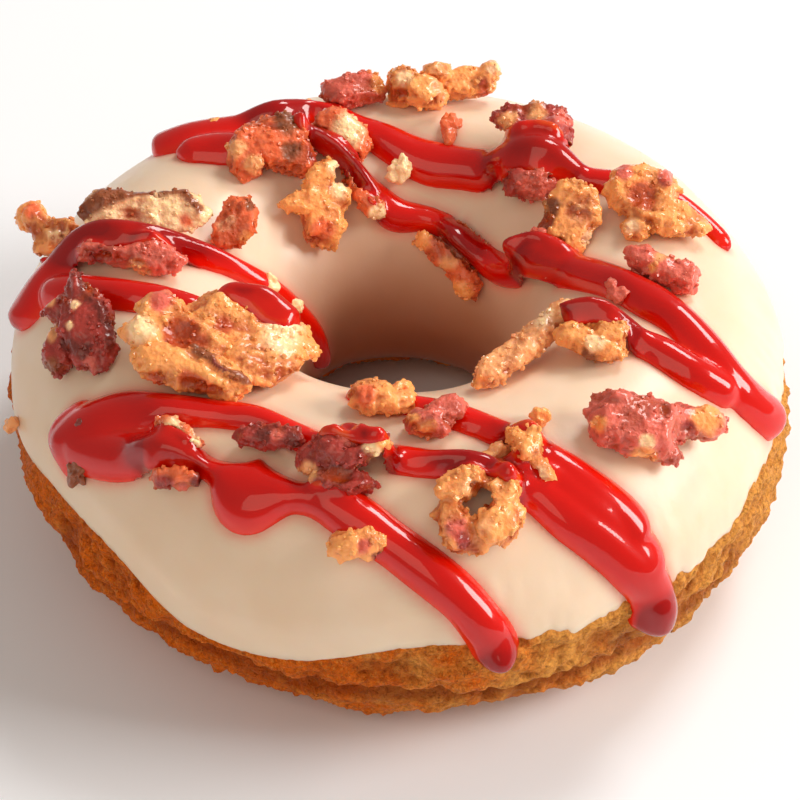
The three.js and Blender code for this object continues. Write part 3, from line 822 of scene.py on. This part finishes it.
def crumple(points, outward, seed):
    """How far each point of a bacon piece is pushed out: folds, fibres, crumples, and tears round its rim."""
    folds = FOLD * noise(points, 3.0, seed) + CREASE * (ridges(points, 2.4, seed + 3, 2) - 0.38)
    centred = points - points.mean(0)
    grain_way = np.linalg.eigh(centred.T @ centred)[1][:, -1]
    stretched = centred - FIBRE_STRETCH * (centred @ grain_way)[:, None] * grain_way
    fibres = FIBRE * (ridges(stretched, 1.3, seed + 6, 2) - 0.4)
    granular = 0.2 * (ridges(points, 0.85, seed + 9, 2) - 0.4)
    granular += 0.1 * (0.45 - grains(points, 0.5, seed + 11))
    from_core = points - on_circle(np.degrees(np.arctan2(points[:, 1], points[:, 0])), CENTRE_RADIUS)
    upright = unit(from_core - [0, 0, EQUATOR_HEIGHT])
    rim = 1 - np.abs((upright * outward).sum(-1))
    torn = TEAR * rim * (ridges(points, 1.15, seed + 12, 2) - 0.46)
    return folds + fibres + granular + torn


# %% Dress each bacon piece
bacon_skins = []
for number, (name, (main, patches)) in enumerate(BACON_PATCHES.items()):
    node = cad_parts["bacon_" + name]
    skin = voxel_skin(welded(node.data), BACON_VOXEL, 3)
    points, outward = places(skin), normals(skin)
    colour, push = patch_blend(points, main, patches)
    lift = SWELL + push + crumple(points, outward, 100 + 11 * number)
    move_to(skin, points + outward * lift[:, None])
    keep_colour(skin, "tone", colour)
    keep_value(skin, "hollow", smoothstep(-lift, -0.25, 0.45))
    bacon_skins.append(show_mesh(f"{name}_crisped", skin))
print("bacon skins:", len(bacon_skins), "with", sum(len(p.data.polygons) for p in bacon_skins), "faces")

# %% [markdown]
# ## Bacon finish
# The tone comes from the patches. Over it, the relief kept on the mesh paints the crests lighter, as lit,
# and the creases darker, as shade, and a few spots are charred. The roughness varies under a thin coat
# of grease, so that it glints in points and not in one sheet, and subsurface light bleeds through the fat.

# %% Bacon material
PAINTED_CREASE_BROWN = shown(186, 66, 8)
CHARRED_BROWN = shown(136, 46, 10)
bacon, tree, shader = new_material(
    "crisp_bacon",
    Subsurface_Weight=0.3,
    Subsurface_Scale=0.0012,
    Subsurface_Radius=(1.0, 0.4, 0.16),
    Coat_Weight=0.65,
    Coat_Roughness=0.08,
    Specular_IOR_Level=0.3,
    IOR=1.45,
)
place = millimetres(tree)
hollow_value = kept(tree, "hollow")
# Painted light and shade: crests are painted lighter, as lit, and creases darker, as shade
crests = {"Color": kept(tree, "tone", "Color"), "Value": span(tree, hollow_value, 0.0, 0.3, 1.4, 1.0)}
painted_crest_light = add(tree, "ShaderNodeHueSaturation", crests | {"Saturation": 0.95}).outputs["Color"]
painted_crease_shade = mixed(tree, span(tree, hollow_value, 0.3, 0.9, 0.0, 0.85), painted_crest_light, PAINTED_CREASE_BROWN)
spots = span(tree, speckle(tree, place, 0.9, 5.0, 0.7), 0.64, 0.76, 0.0, 0.5)
coarse = bumped(tree, cells(tree, place, 0.5), 0.12)
feed(
    shader,
    Base_Color=mixed(tree, spots, painted_crease_shade, CHARRED_BROWN),
    Roughness=span(tree, speckle(tree, place, 0.5), 0.3, 0.7, 0.2, 0.55),
    Normal=bumped(tree, speckle(tree, place, 0.25, 3.0, 0.65), 0.1, coarse),
)
for piece in bacon_skins:
    dress(piece, bacon, "bacon", "bacon_" + piece.name.removesuffix("_crisped"))

# %% [markdown]
# ## Syrup
# A strand of syrup is a low dome that flows over whatever lies beneath and thins at its edges. Each strand
# follows a route of places on the ring with a half width and the rise that carries it over bacon. Rays cast
# down on the bacon find the true surface under every point, which is smoothed a little because syrup
# bridges small gaps. The strands are closed strips, and one voxel remesh melts them into a single body, so
# that they join as liquids do and leave no seam.

# %% Syrup routes
# Each place is [around, across, half width, rise over the icing]
STRANDS = {
    "back": [
        [137, 52, 2.8, 0], [134, 65, 3.2, 0], [127, 78, 3.0, 0.6], [118, 86, 2.2, 2.4],
        [108, 85, 1.6, 0.8], [98, 100, 2.2, 0.4], [82, 114, 2.8, 0.2], [63, 114, 3.0, 0.8],
        [50, 107, 2.7, 4.2], [40, 102, 2.5, 4.2], [31, 94, 1.9, 0.2], [24, 80, 1.8, 0], [16, 64, 1.7, 0],
        [8, 52, 1.5, 0],
    ],
    "back_lower": [[140, 74, 2.2, 0], [135, 83, 2.8, 0], [130, 92, 2.8, 0.4], [126, 98, 2.2, 0.8]],
    "middle": [
        [118, 98, 1.6, 2.8], [110, 109, 1.4, 2.6], [103, 122, 1.5, 2.2], [92, 137, 2.0, 0.2],
        [76, 139, 1.6, 0], [60, 143, 1.8, 2.2], [42, 148, 2.0, 0.4], [27, 144, 2.0, 0.2],
        [13, 132, 2.4, 3.4], [-1, 118, 2.4, 0.4], [-14, 96, 2.6, 0.3], [-21, 76, 2.6, 0],
        [-26, 54, 2.7, 0], [-25, 36, 2.9, 0], [-22, 22, 2.4, 0],
    ],
    "right": [
        [-39, 108, 1.3, 4.6], [-33, 98, 1.6, 4.4], [-31, 84, 2.0, 0.8], [-31, 66, 2.4, 0],
        [-28, 46, 2.2, 0],
    ],
    "left_outer": [
        [180, 29, 2.7, 0], [178, 41, 3.8, 0], [175, 56, 3.0, 1.4], [175, 74, 2.3, 3.6],
        [176, 90, 2.2, 3.4], [174, 106, 1.9, 1.6], [171, 124, 1.8, 0.6], [166, 142, 1.8, 0],
        [157, 158, 1.7, 0], [145, 178, 1.7, 0], [138, 194, 1.3, 0],
    ],
    "left_inner": [
        [-181, 48, 2.6, 0], [-175, 68, 2.4, 0], [-169, 86, 2.2, 0], [-163, 102, 2.2, 0],
        [-158, 114, 1.6, 0],
    ],
    "front_upper": [
        [-151, 30, 2.4, 0], [-147, 44, 3.4, 0], [-142, 60, 2.8, 0], [-131, 76, 2.0, 0],
        [-119, 84, 1.8, 0], [-106, 82, 1.8, 0.6], [-99, 81, 1.6, 3.4], [-90, 79, 1.9, 0.6],
        [-78, 74, 1.8, 1.8], [-70, 63, 2.3, 0.4], [-65, 48, 2.9, 0], [-60, 30, 3.0, 0], [-57, 13, 2.7, 0],
        [-57, -3, 3.2, 0],
    ],
    "front_lower": [
        [-149, 36, 3.0, 0], [-140, 44, 2.8, 0], [-130, 57, 2.2, 3.0], [-122, 59, 1.5, 0.8],
        [-115, 56, 4.2, 0], [-107, 60, 1.9, 0.6], [-100, 59, 2.6, 0.6], [-92, 49, 2.5, 0],
        [-84, 33, 2.4, 0], [-80, 18, 2.5, 0], [-78, 4, 2.5, 0],
    ],
    "front_inner": [
        [-105, 111, 1.5, 0], [-98, 112, 1.6, 0.6], [-89, 106, 1.5, 0.4], [-80, 99, 2.0, 0],
        [-73, 90, 2.0, 0.4], [-67, 78, 1.8, 0.8], [-63, 61, 2.6, 0], [-59, 44, 2.8, 0], [-57, 30, 2.6, 0],
    ],
    "merged": [
        [-68, 70, 2.2, 0.5], [-64, 56, 3.2, 0], [-60.5, 42, 3.4, 0], [-58, 28, 3.0, 0], [-57, 16, 2.4, 0],
    ],
    "pool": [[-153, 32, 3.4, 0], [-149, 38, 4.2, 0], [-143, 44, 3.6, 0]],
    "on_fold": [
        [-155, 107, 1.2, 2.0], [-150, 111, 1.8, 2.4], [-144, 115, 2.0, 2.4], [-138, 117, 2.0, 2.4],
        [-132, 118, 1.7, 1.6], [-127, 119, 1.3, 0.6],
    ],
}
SYRUP_HEIGHT = 1.6
SYRUP_SINK = 0.5
DROP_SWELL = 0.6
CARRIED_DEPTH = 1.4
CARRIED_DOME, CARRIED_FALL = 1.2, 3.0
DOME_POWER = 0.75
CARRIED_FROM = 0.3
FULL_HALF_WIDTH = 1.8
WIDTH_WAVER, THICKNESS_WAVER = 0.09, 0.15
SIDE_STEPS = 15
STATION = 0.45


def smooth_route(route, count):
    """A smooth curve through the rows of a route, as evenly many rows to each of its steps."""
    rows = np.array(route, float)
    rows = np.vstack([2 * rows[0] - rows[1], rows, 2 * rows[-1] - rows[-2]])
    t = np.linspace(0, len(route) - 1 - 1e-9, count)
    i = t.astype(int)
    return smooth_between(*(rows[i + k] for k in range(4)), (t - i)[:, None])


print("syrup strands:", len(STRANDS))

# %% Rays down on the bacon
bacon_tree, bacon_owners = tree_of(bacon_skins)
RAY_START = 14
NOTHING_THERE = -9.0


def bacon_heights(around, across):
    """Height of the bacon over the ring's skin at each place, or far below it where there is none."""
    start = ring_points(around, across, RAY_START)
    down = -skin_normals(around, across)
    heights = np.full(around.shape, NOTHING_THERE)
    for index in np.ndindex(around.shape):
        hit = bacon_tree.ray_cast(Vector(start[index]), Vector(down[index]), RAY_START)
        if hit[0] is not None:
            heights[index] = RAY_START - hit[3]
    return heights


def surface_lift(around, across):
    covered = from_edge_mm(around, across) > 0
    return np.where(covered, icing_lift(around, across), cake_lift(around, across))


def blurred(values, along, sideways):
    """Values on a strip, softened along it and across it by so many steps."""
    for axis, reach in ((0, along), (1, sideways)):
        for _ in range(reach):
            padded = np.pad(values, [(1, 1) if a == axis else (0, 0) for a in (0, 1)], mode="edge")
            before = padded[:-2] if axis == 0 else padded[:, :-2]
            after = padded[2:] if axis == 0 else padded[:, 2:]
            values = (before + 2 * values + after) / 4
    return values


print("bacon faces for rays:", len(bacon_owners))

# %% Syrup strips


def strand_strip(route, seed):
    """The closed strip of one strand: points and faces."""
    skin = ring_points(np.array(route)[:, 0], np.array(route)[:, 1])
    reach = np.linalg.norm(np.diff(skin, axis=0), axis=1).sum()
    rows = smooth_route(route, max(8, int(reach / STATION)))
    around, across, half, rise = rows.T
    centre = ring_points(around, across)
    steps = np.linalg.norm(np.diff(centre, axis=0), axis=1)
    travelled = np.concatenate([[0], np.cumsum(steps)])
    half = half * (1 + WIDTH_WAVER * noise(centre, 4.0, seed))
    for end in (travelled, travelled[-1] - travelled):
        inside = np.clip(1 - end / (half * 0.95), 0, 1)
        half = half * np.sqrt(np.maximum(1 - inside**2, 0.02))
    round_scale = np.linalg.norm(ring_points(around + 1, across) - centre, axis=1)
    over_scale = np.linalg.norm(ring_points(around, across + 1) - centre, axis=1)
    heading = unit(np.stack([np.gradient(around) * round_scale, np.gradient(across) * over_scale], -1))
    side = np.linspace(-1, 1, SIDE_STEPS)[None, :]
    sideways = side * half[:, None]
    u = around[:, None] + sideways * (heading[:, 1] / round_scale)[:, None]
    v = across[:, None] - sideways * (heading[:, 0] / over_scale)[:, None]
    ground = surface_lift(u, v)
    over_bacon = smoothstep(rise, CARRIED_FROM, 1.0)[:, None]
    raw = np.maximum(ground, lerp(ground, bacon_heights(u, v), over_bacon))
    bed = np.maximum(blurred(raw, 3, 2), raw - 0.15)
    dome = (1 - side**2) ** DOME_POWER
    thickness = SYRUP_HEIGHT * (1 + THICKNESS_WAVER * noise(centre, 5.0, seed + 5))
    hanging = smoothstep(-across, -16, -6) * (across < 90)
    thickness = thickness * (1 + DROP_SWELL * hanging)
    width_share = np.clip(half / FULL_HALF_WIDTH, 0.35, 1.25)
    carried = (ICING_PROUD + rise)[:, None] + CARRIED_DOME * dome - CARRIED_FALL * (1 - dome)
    is_carried = rise[:, None] > CARRIED_FROM
    carried = np.where(is_carried, carried, NOTHING_THERE)
    top = np.maximum(bed + (thickness * width_share)[:, None] * dome, carried)
    top = np.maximum(blurred(top, 2, 1), bed + 0.1)
    bottom = np.minimum(raw, bed) - SYRUP_SINK
    hung = np.where(is_carried, (ICING_PROUD + rise - CARRIED_DEPTH)[:, None], NOTHING_THERE)
    bottom = np.minimum(np.maximum(bottom, hung), top - 0.15)
    grid = np.concatenate([ring_points(u, v, top), ring_points(u, v, bottom)[:, ::-1]], 1)
    count, columns = grid.shape[:2]
    last_row = (count - 1) * columns
    faces = [face for face in ring_faces(count, columns).tolist() if max(face) - min(face) < last_row]
    for start in (0, last_row):
        for j in range(columns // 2 - 1):
            quad = [start + j, start + j + 1, start + columns - 2 - j, start + columns - 1 - j]
            faces.append(quad if start == 0 else quad[::-1])
    return grid.reshape(-1, 3), faces


strip_points, strip_faces = joined(
    strand_strip(route, 200 + 10 * number) for number, route in enumerate(STRANDS.values())
)
print("strip points:", len(strip_points))

# %% Melt the strips together
SYRUP_VOXEL = 0.29
strips = new_mesh("strips", strip_points, strip_faces)
work = bmesh.new()
work.from_mesh(strips)
bmesh.ops.recalc_face_normals(work, faces=work.faces)
work.to_mesh(strips)
work.free()
syrup_skin = voxel_skin(strips, SYRUP_VOXEL, 6)
syrup = show_mesh("syrup", syrup_skin)
print("syrup faces:", len(syrup_skin.polygons))

# %% [markdown]
# ## How deep the syrup is
# Red syrup is pale where it is a film and dark where it is deep. A ray from each point straight into the
# strand measures its depth down to the icing or bacon, and which of the two it meets, since fat under syrup
# glows orange. Both are kept on the mesh for the material. The icing also takes a blush where syrup touches
# it.

# %% Measure depth and blush


def spread(mesh, values, times):
    """Values on a mesh's points, averaged with their neighbours so many times."""
    edges = np.empty(len(mesh.edges) * 2, int)
    mesh.edges.foreach_get("vertices", edges)
    first, second = edges.reshape(-1, 2).T
    count = np.bincount(first, minlength=len(values)) + np.bincount(second, minlength=len(values))
    for _ in range(times):
        total = np.bincount(first, values[second], len(values))
        total += np.bincount(second, values[first], len(values))
        values = 0.5 * values + 0.5 * total / np.maximum(count, 1)
    return values


MOST_DEPTH = 4.0
ground_tree, owners = tree_of([icing, cake, *bacon_skins])
points, outward = places(syrup.data), normals(syrup.data)
depth = np.full(len(points), MOST_DEPTH)
over_bacon = np.zeros(len(points))
for index, (point, normal) in enumerate(zip(points, outward)):
    hit = ground_tree.ray_cast(Vector(point + 0.02 * normal), Vector(-normal), MOST_DEPTH)
    if hit[0] is not None:
        depth[index] = hit[3]
        over_bacon[index] = owners[hit[2]] > 1
keep_value(syrup.data, "depth", spread(syrup.data, depth, 6))
keep_value(syrup.data, "over_bacon", spread(syrup.data, over_bacon, 6))

BLUSH_REACH = 1.6
syrup_tree = tree_of([syrup])[0]
blush = np.zeros(len(icing.data.vertices))
for index, point in enumerate(places(icing.data)):
    near = syrup_tree.find_nearest(Vector(point), BLUSH_REACH)
    if near[0] is not None:
        blush[index] = 1 - near[3] / BLUSH_REACH
keep_value(icing.data, "blush", blush**2)
print("syrup depth, middle value:", round(float(np.median(depth)), 2), "mm")

# %% [markdown]
# ## Icing and syrup finish
# Icing is soft and opaque with light bleeding into it, so its shading is smooth and its highlights broad.
# Syrup is a gel: bright and mirror-like on top. True glass with absorption would be slow and noisy, so the
# measured depth picks the colour, and a clear coat gives the sharp reflections.

# %% Icing material
ICING_CREAM = shown(243, 218, 192)
ICING_WARM = shown(237, 205, 172)
ICING_HOLE_SHADE_BROWN = shown(170, 86, 26)
BLUSH_PINK = shown(244, 140, 118)

cream, tree, shader = new_material(
    "cream_icing",
    Roughness=0.36,
    Subsurface_Weight=0.35,
    Subsurface_Scale=0.0022,
    Subsurface_Radius=(1.0, 0.62, 0.38),
    Coat_Weight=0.12,
    Coat_Roughness=0.2,
    IOR=1.45,
)
place = millimetres(tree)
cloud = span(tree, speckle(tree, place, 9.0, 2.0), 0.35, 0.7, 0.0, 0.6)
open_face = mixed(tree, cloud, ICING_CREAM, ICING_WARM)
# Painted shade: the icing darkens to brown down the wall of the hole
painted_hole_shade = span(tree, kept(tree, "in_hole"), 0.0, 1.0, 0.0, 0.95)
blushing = span(tree, kept(tree, "blush"), 0.0, 1.0, 0.0, 0.7)
base = mixed(tree, blushing, mixed(tree, painted_hole_shade, open_face, ICING_HOLE_SHADE_BROWN), BLUSH_PINK)
feed(shader, Base_Color=base, Normal=bumped(tree, speckle(tree, place, 2.4, 3.0, 0.5), 0.05))
dress(icing, cream, "icing", "icing")

# %% Syrup material
# Each colour stands at a share of the depth at which the syrup is darkest, in millimetres
DEEPEST_RED = 3.0
REDS_ON_ICING = [
    (0.0, shown(241, 102, 74)),
    (0.07, shown(238, 70, 30)),
    (0.18, shown(238, 40, 2)),
    (0.5, shown(224, 14, 0)),
    (1.0, shown(158, 0, 0)),
]
REDS_ON_BACON = [(0.0, shown(228, 96, 24)), (0.25, shown(214, 22, 4)), (1.0, shown(150, 2, 0))]

red, tree, shader = new_material(
    "fruit_syrup",
    Roughness=0.25,
    Specular_IOR_Level=0.1,
    Subsurface_Weight=0.12,
    Subsurface_Scale=0.0012,
    Subsurface_Radius=(1.0, 0.06, 0.03),
    Coat_Weight=0.9,
    Coat_Roughness=0.02,
    IOR=1.46,
)
film = span(tree, kept(tree, "depth"), 0.0, DEEPEST_RED)
reds = mixed(tree, kept(tree, "over_bacon"), ramp(tree, film, REDS_ON_ICING), ramp(tree, film, REDS_ON_BACON))
feed(shader, Base_Color=reds)
dress(syrup, red, "syrup", "icing")

# %% [markdown]
# ## Crumbs and grains
# Two sizes of scrap are left: crumbs a few millimetres across that stick to the icing, and sugar-sized
# grains of fat all over the bacon. The crumbs are few and each has its place, so a short function makes
# them. The grains are thousands alike, which is work for geometry nodes: scatter points on the bacon, put a
# small faceted lump on each, turned and sized at random from a fixed seed, and keep the colour of the skin
# it sits on.

# %% Crumbs
# Each crumb is (around, across, half length, half width, tone)
CRUMBS = [
    (129, 74, 2.0, 1.3, "gold"), (88, 120, 2.0, 1.7, "pale"), (75, 99, 2.3, 1.3, "amber"),
    (-16, 101, 2.0, 1.3, "pink"), (-63, 85, 1.2, 1.2, "gold"), (-74, 77, 2.1, 1.0, "tan"),
    (-90, 116, 1.5, 1.2, "gold"), (167, 140, 1.2, 1.1, "pale"), (161, 154, 1.3, 1.0, "pale"),
    (-144, 31, 1.5, 1.8, "brown"), (-165, 14, 1.2, 1.1, "tan"), (109, 83, 1.2, 1.0, "tan"),
    (-147, 46, 1.0, 1.2, "dark"),
]
CRUMB_HEIGHT = 1.5
CRUMB_THICKNESS = 2.2
CRUMB_TURN = 40


def crumb_ball(number, around, across, half_length, half_width):
    work = bmesh.new()
    bmesh.ops.create_icosphere(work, subdivisions=4, radius=1)
    ball = np.array([v.co for v in work.verts])
    faces = np.array([[v.index for v in face.verts] for face in work.faces])
    work.free()
    normal = skin_normals(np.float64(around), np.float64(across))
    sideways = unit(np.array([1.0, 0, 0]) - normal[0] * normal)
    forwards = np.cross(normal, sideways)
    turn = math.radians(CRUMB_TURN * number)
    axis_a = sideways * math.cos(turn) + forwards * math.sin(turn)
    axis_b = forwards * math.cos(turn) - sideways * math.sin(turn)
    centre = ring_points(around, across, CRUMB_HEIGHT * 0.7)
    size = [half_length, half_width, CRUMB_THICKNESS / 2]
    lumps = 0.85 + 0.4 * rough(ball * size + 10 * number, 1.1, 300 + number, 2)
    lumps += 0.5 * (ridges(ball * size + 10 * number, 0.9, 310 + number, 2) - 0.4)
    scaled = ball * size * lumps[:, None]
    return centre + scaled @ np.stack([axis_a, axis_b, normal]), faces


balls = [crumb_ball(number, *numbers) for number, (*numbers, _) in enumerate(CRUMBS)]
crumbs = new_object("crumbs", *joined(balls))
tones = [np.tile(TONES[crumb[-1]][:3], (len(points), 1)) for crumb, (points, faces) in zip(CRUMBS, balls)]
keep_colour(crumbs.data, "tone", np.vstack(tones))
# With no hollows kept, the crumbs take the bacon's painted crest light all over
keep_value(crumbs.data, "hollow", np.zeros(len(crumbs.data.vertices)))
dress(crumbs, bacon, "bacon", "icing")

# %% Grains by geometry nodes
GRAINS_PER_MM2 = 0.7
GRAIN_SIZE = 0.3
GRAIN_SEED = 11
LEAST_GRAIN, MOST_GRAIN = 0.3, 1.3

group = bpy.data.node_groups.new("scatter_grains", "GeometryNodeTree")
group.interface.new_socket("Geometry", in_out="INPUT", socket_type="NodeSocketGeometry")
settings = [("Density", "Float", GRAINS_PER_MM2 / METRE**2), ("Grain Size", "Float", GRAIN_SIZE * METRE)]
settings.append(("Seed", "Int", GRAIN_SEED))
chosen = {}
for name, kind, value in settings:
    socket = group.interface.new_socket(name, in_out="INPUT", socket_type="NodeSocket" + kind)
    chosen[socket.identifier] = value
group.interface.new_socket("Geometry", in_out="OUTPUT", socket_type="NodeSocketGeometry")
inputs = group.nodes.new("NodeGroupInput").outputs
scattering = {"Mesh": inputs["Geometry"], "Density": inputs["Density"], "Seed": inputs["Seed"]}
scatter = add(group, "GeometryNodeDistributePointsOnFaces", scattering)
lump = add(group, "GeometryNodeMeshIcoSphere", {"Radius": 1.0, "Subdivisions": 1})
wobble = add(group, "ShaderNodeTexNoise", {"Scale": 1.1, "Detail": 1.0}, noise_dimensions="3D")
halves = {0: wobble.outputs["Color"], 1: (0.5, 0.5, 0.5)}
offset = add(group, "ShaderNodeVectorMath", halves, operation="SUBTRACT").outputs[0]
pushed = add(group, "ShaderNodeVectorMath", {0: offset, "Scale": 1.6}, operation="SCALE").outputs[0]
uneven = add(group, "GeometryNodeSetPosition", {"Geometry": lump.outputs["Mesh"], "Offset": pushed})
faceted = add(group, "GeometryNodeSetShadeSmooth", {0: uneven.outputs[0], "Shade Smooth": False})
turning = add(group, "FunctionNodeRandomValue", {"Seed": inputs["Seed"]}, data_type="FLOAT_VECTOR")
turning.inputs[1].default_value = (math.tau, math.tau, math.tau)
sizing = add(group, "FunctionNodeRandomValue", {"Seed": inputs["Seed"]}, data_type="FLOAT")
sizing.inputs[2].default_value, sizing.inputs[3].default_value = LEAST_GRAIN, MOST_GRAIN
scaled = maths(group, "MULTIPLY", sizing.outputs[1], inputs["Grain Size"])
placing = {"Points": scatter.outputs["Points"], "Instance": faceted.outputs[0]}
placing |= {"Rotation": turning.outputs[0], "Scale": scaled}
copies = add(group, "GeometryNodeInstanceOnPoints", placing)
real = add(group, "GeometryNodeRealizeInstances", {"Geometry": copies.outputs[0]})
finished = add(group, "GeometryNodeSetMaterial", {"Geometry": real.outputs[0], "Material": bacon})
add(group, "NodeGroupOutput", {"Geometry": finished.outputs[0]})

work = bmesh.new()
for piece in bacon_skins:
    work.from_mesh(piece.data)
ground = bpy.data.meshes.new("grain_ground")
work.to_mesh(ground)
work.free()
grain_work = show_mesh("grain_work", ground)
modifier = grain_work.modifiers.new("grains", "NODES")
modifier.node_group = group
for identifier, value in chosen.items():
    modifier[identifier] = value
grain_mesh = evaluated_mesh(grain_work)
grain_piece = show_mesh("bacon_grains", grain_mesh, smooth=False)
dress(grain_piece, bacon, "bacon")
print("attributes on the grains:", [a.name for a in grain_mesh.attributes if not a.is_internal])

# %% [markdown]
# ## Floor, light and camera
# A plain pale floor and three soft lights show food best. The key stands high at the back right, as the
# shadows say. A lower one at the right puts its streaks on the right-hand flanks of the syrup, and a wide
# warm one at the front left opens the shade. The camera is the one whose numbers placed the bacon's
# patches, with the slight roll that the picture has.

# %% Floor
floor_mesh = bpy.data.meshes.new("floor")
FLOOR_HALF = 1.6
corners = [(x * FLOOR_HALF, y * FLOOR_HALF, 0) for x, y in ((-1, -1), (1, -1), (1, 1), (-1, 1))]
floor_mesh.from_pydata(corners, [], [(0, 1, 2, 3)])
floor = show_mesh("floor", floor_mesh, smooth=False)
paper, tree, shader = new_material("pale_floor", Roughness=0.9)
shader.inputs["Base Color"].default_value = (0.92, 0.95, 1.0, 1)
floor.data.materials.append(paper)

# %% Lights
MIDDLE = Vector((0, 0, 0.018))


def soft_light(name, place, side, watts, colour):
    light = bpy.data.lights.new(name, "AREA")
    light.shape = "SQUARE"
    light.size = side
    light.energy = watts
    light.color = colour
    lamp = bpy.data.objects.new(name, light)
    lamp.location = place
    lamp.rotation_euler = (MIDDLE - Vector(place)).to_track_quat("-Z", "Y").to_euler()
    bpy.context.scene.collection.objects.link(lamp)


soft_light("key", (0.55, 0.65, 0.98), 0.45, 8.0, (1.0, 0.97, 0.93))
soft_light("streak", (1.08, -0.10, 0.58), 0.54, 12.3, (1.0, 0.95, 0.90))
soft_light("fill", (-0.50, -1.10, 1.00), 1.2, 5.5, (1.0, 0.84, 0.66))
world = bpy.data.worlds.new("studio")
world.use_nodes = True
surroundings = world.node_tree.nodes["Background"].inputs
surroundings["Color"].default_value = (1.0, 0.92, 0.84, 1)
surroundings["Strength"].default_value = 0.32
bpy.context.scene.world = world
bpy.context.scene.view_settings.view_transform = "Standard"

# %% Camera
SENSOR_WIDTH = 36
camera_data = bpy.data.cameras.new("camera")
camera_data.sensor_width = SENSOR_WIDTH
camera_data.lens = FOCAL_PX / PICTURE_PX * SENSOR_WIDTH
camera_data.clip_start, camera_data.clip_end = 0.01, 10
camera = bpy.data.objects.new("camera", camera_data)
level = Matrix((RIGHT, UP, BACK)).transposed()
rolled = level @ Matrix.Rotation(-ROLL, 3, "Z")
camera.matrix_world = Matrix.Translation(Vector(EYE) * METRE) @ rolled.to_4x4()
bpy.context.scene.collection.objects.link(camera)
bpy.context.scene.camera = camera
print("camera at", [round(c, 3) for c in camera.matrix_world.translation])
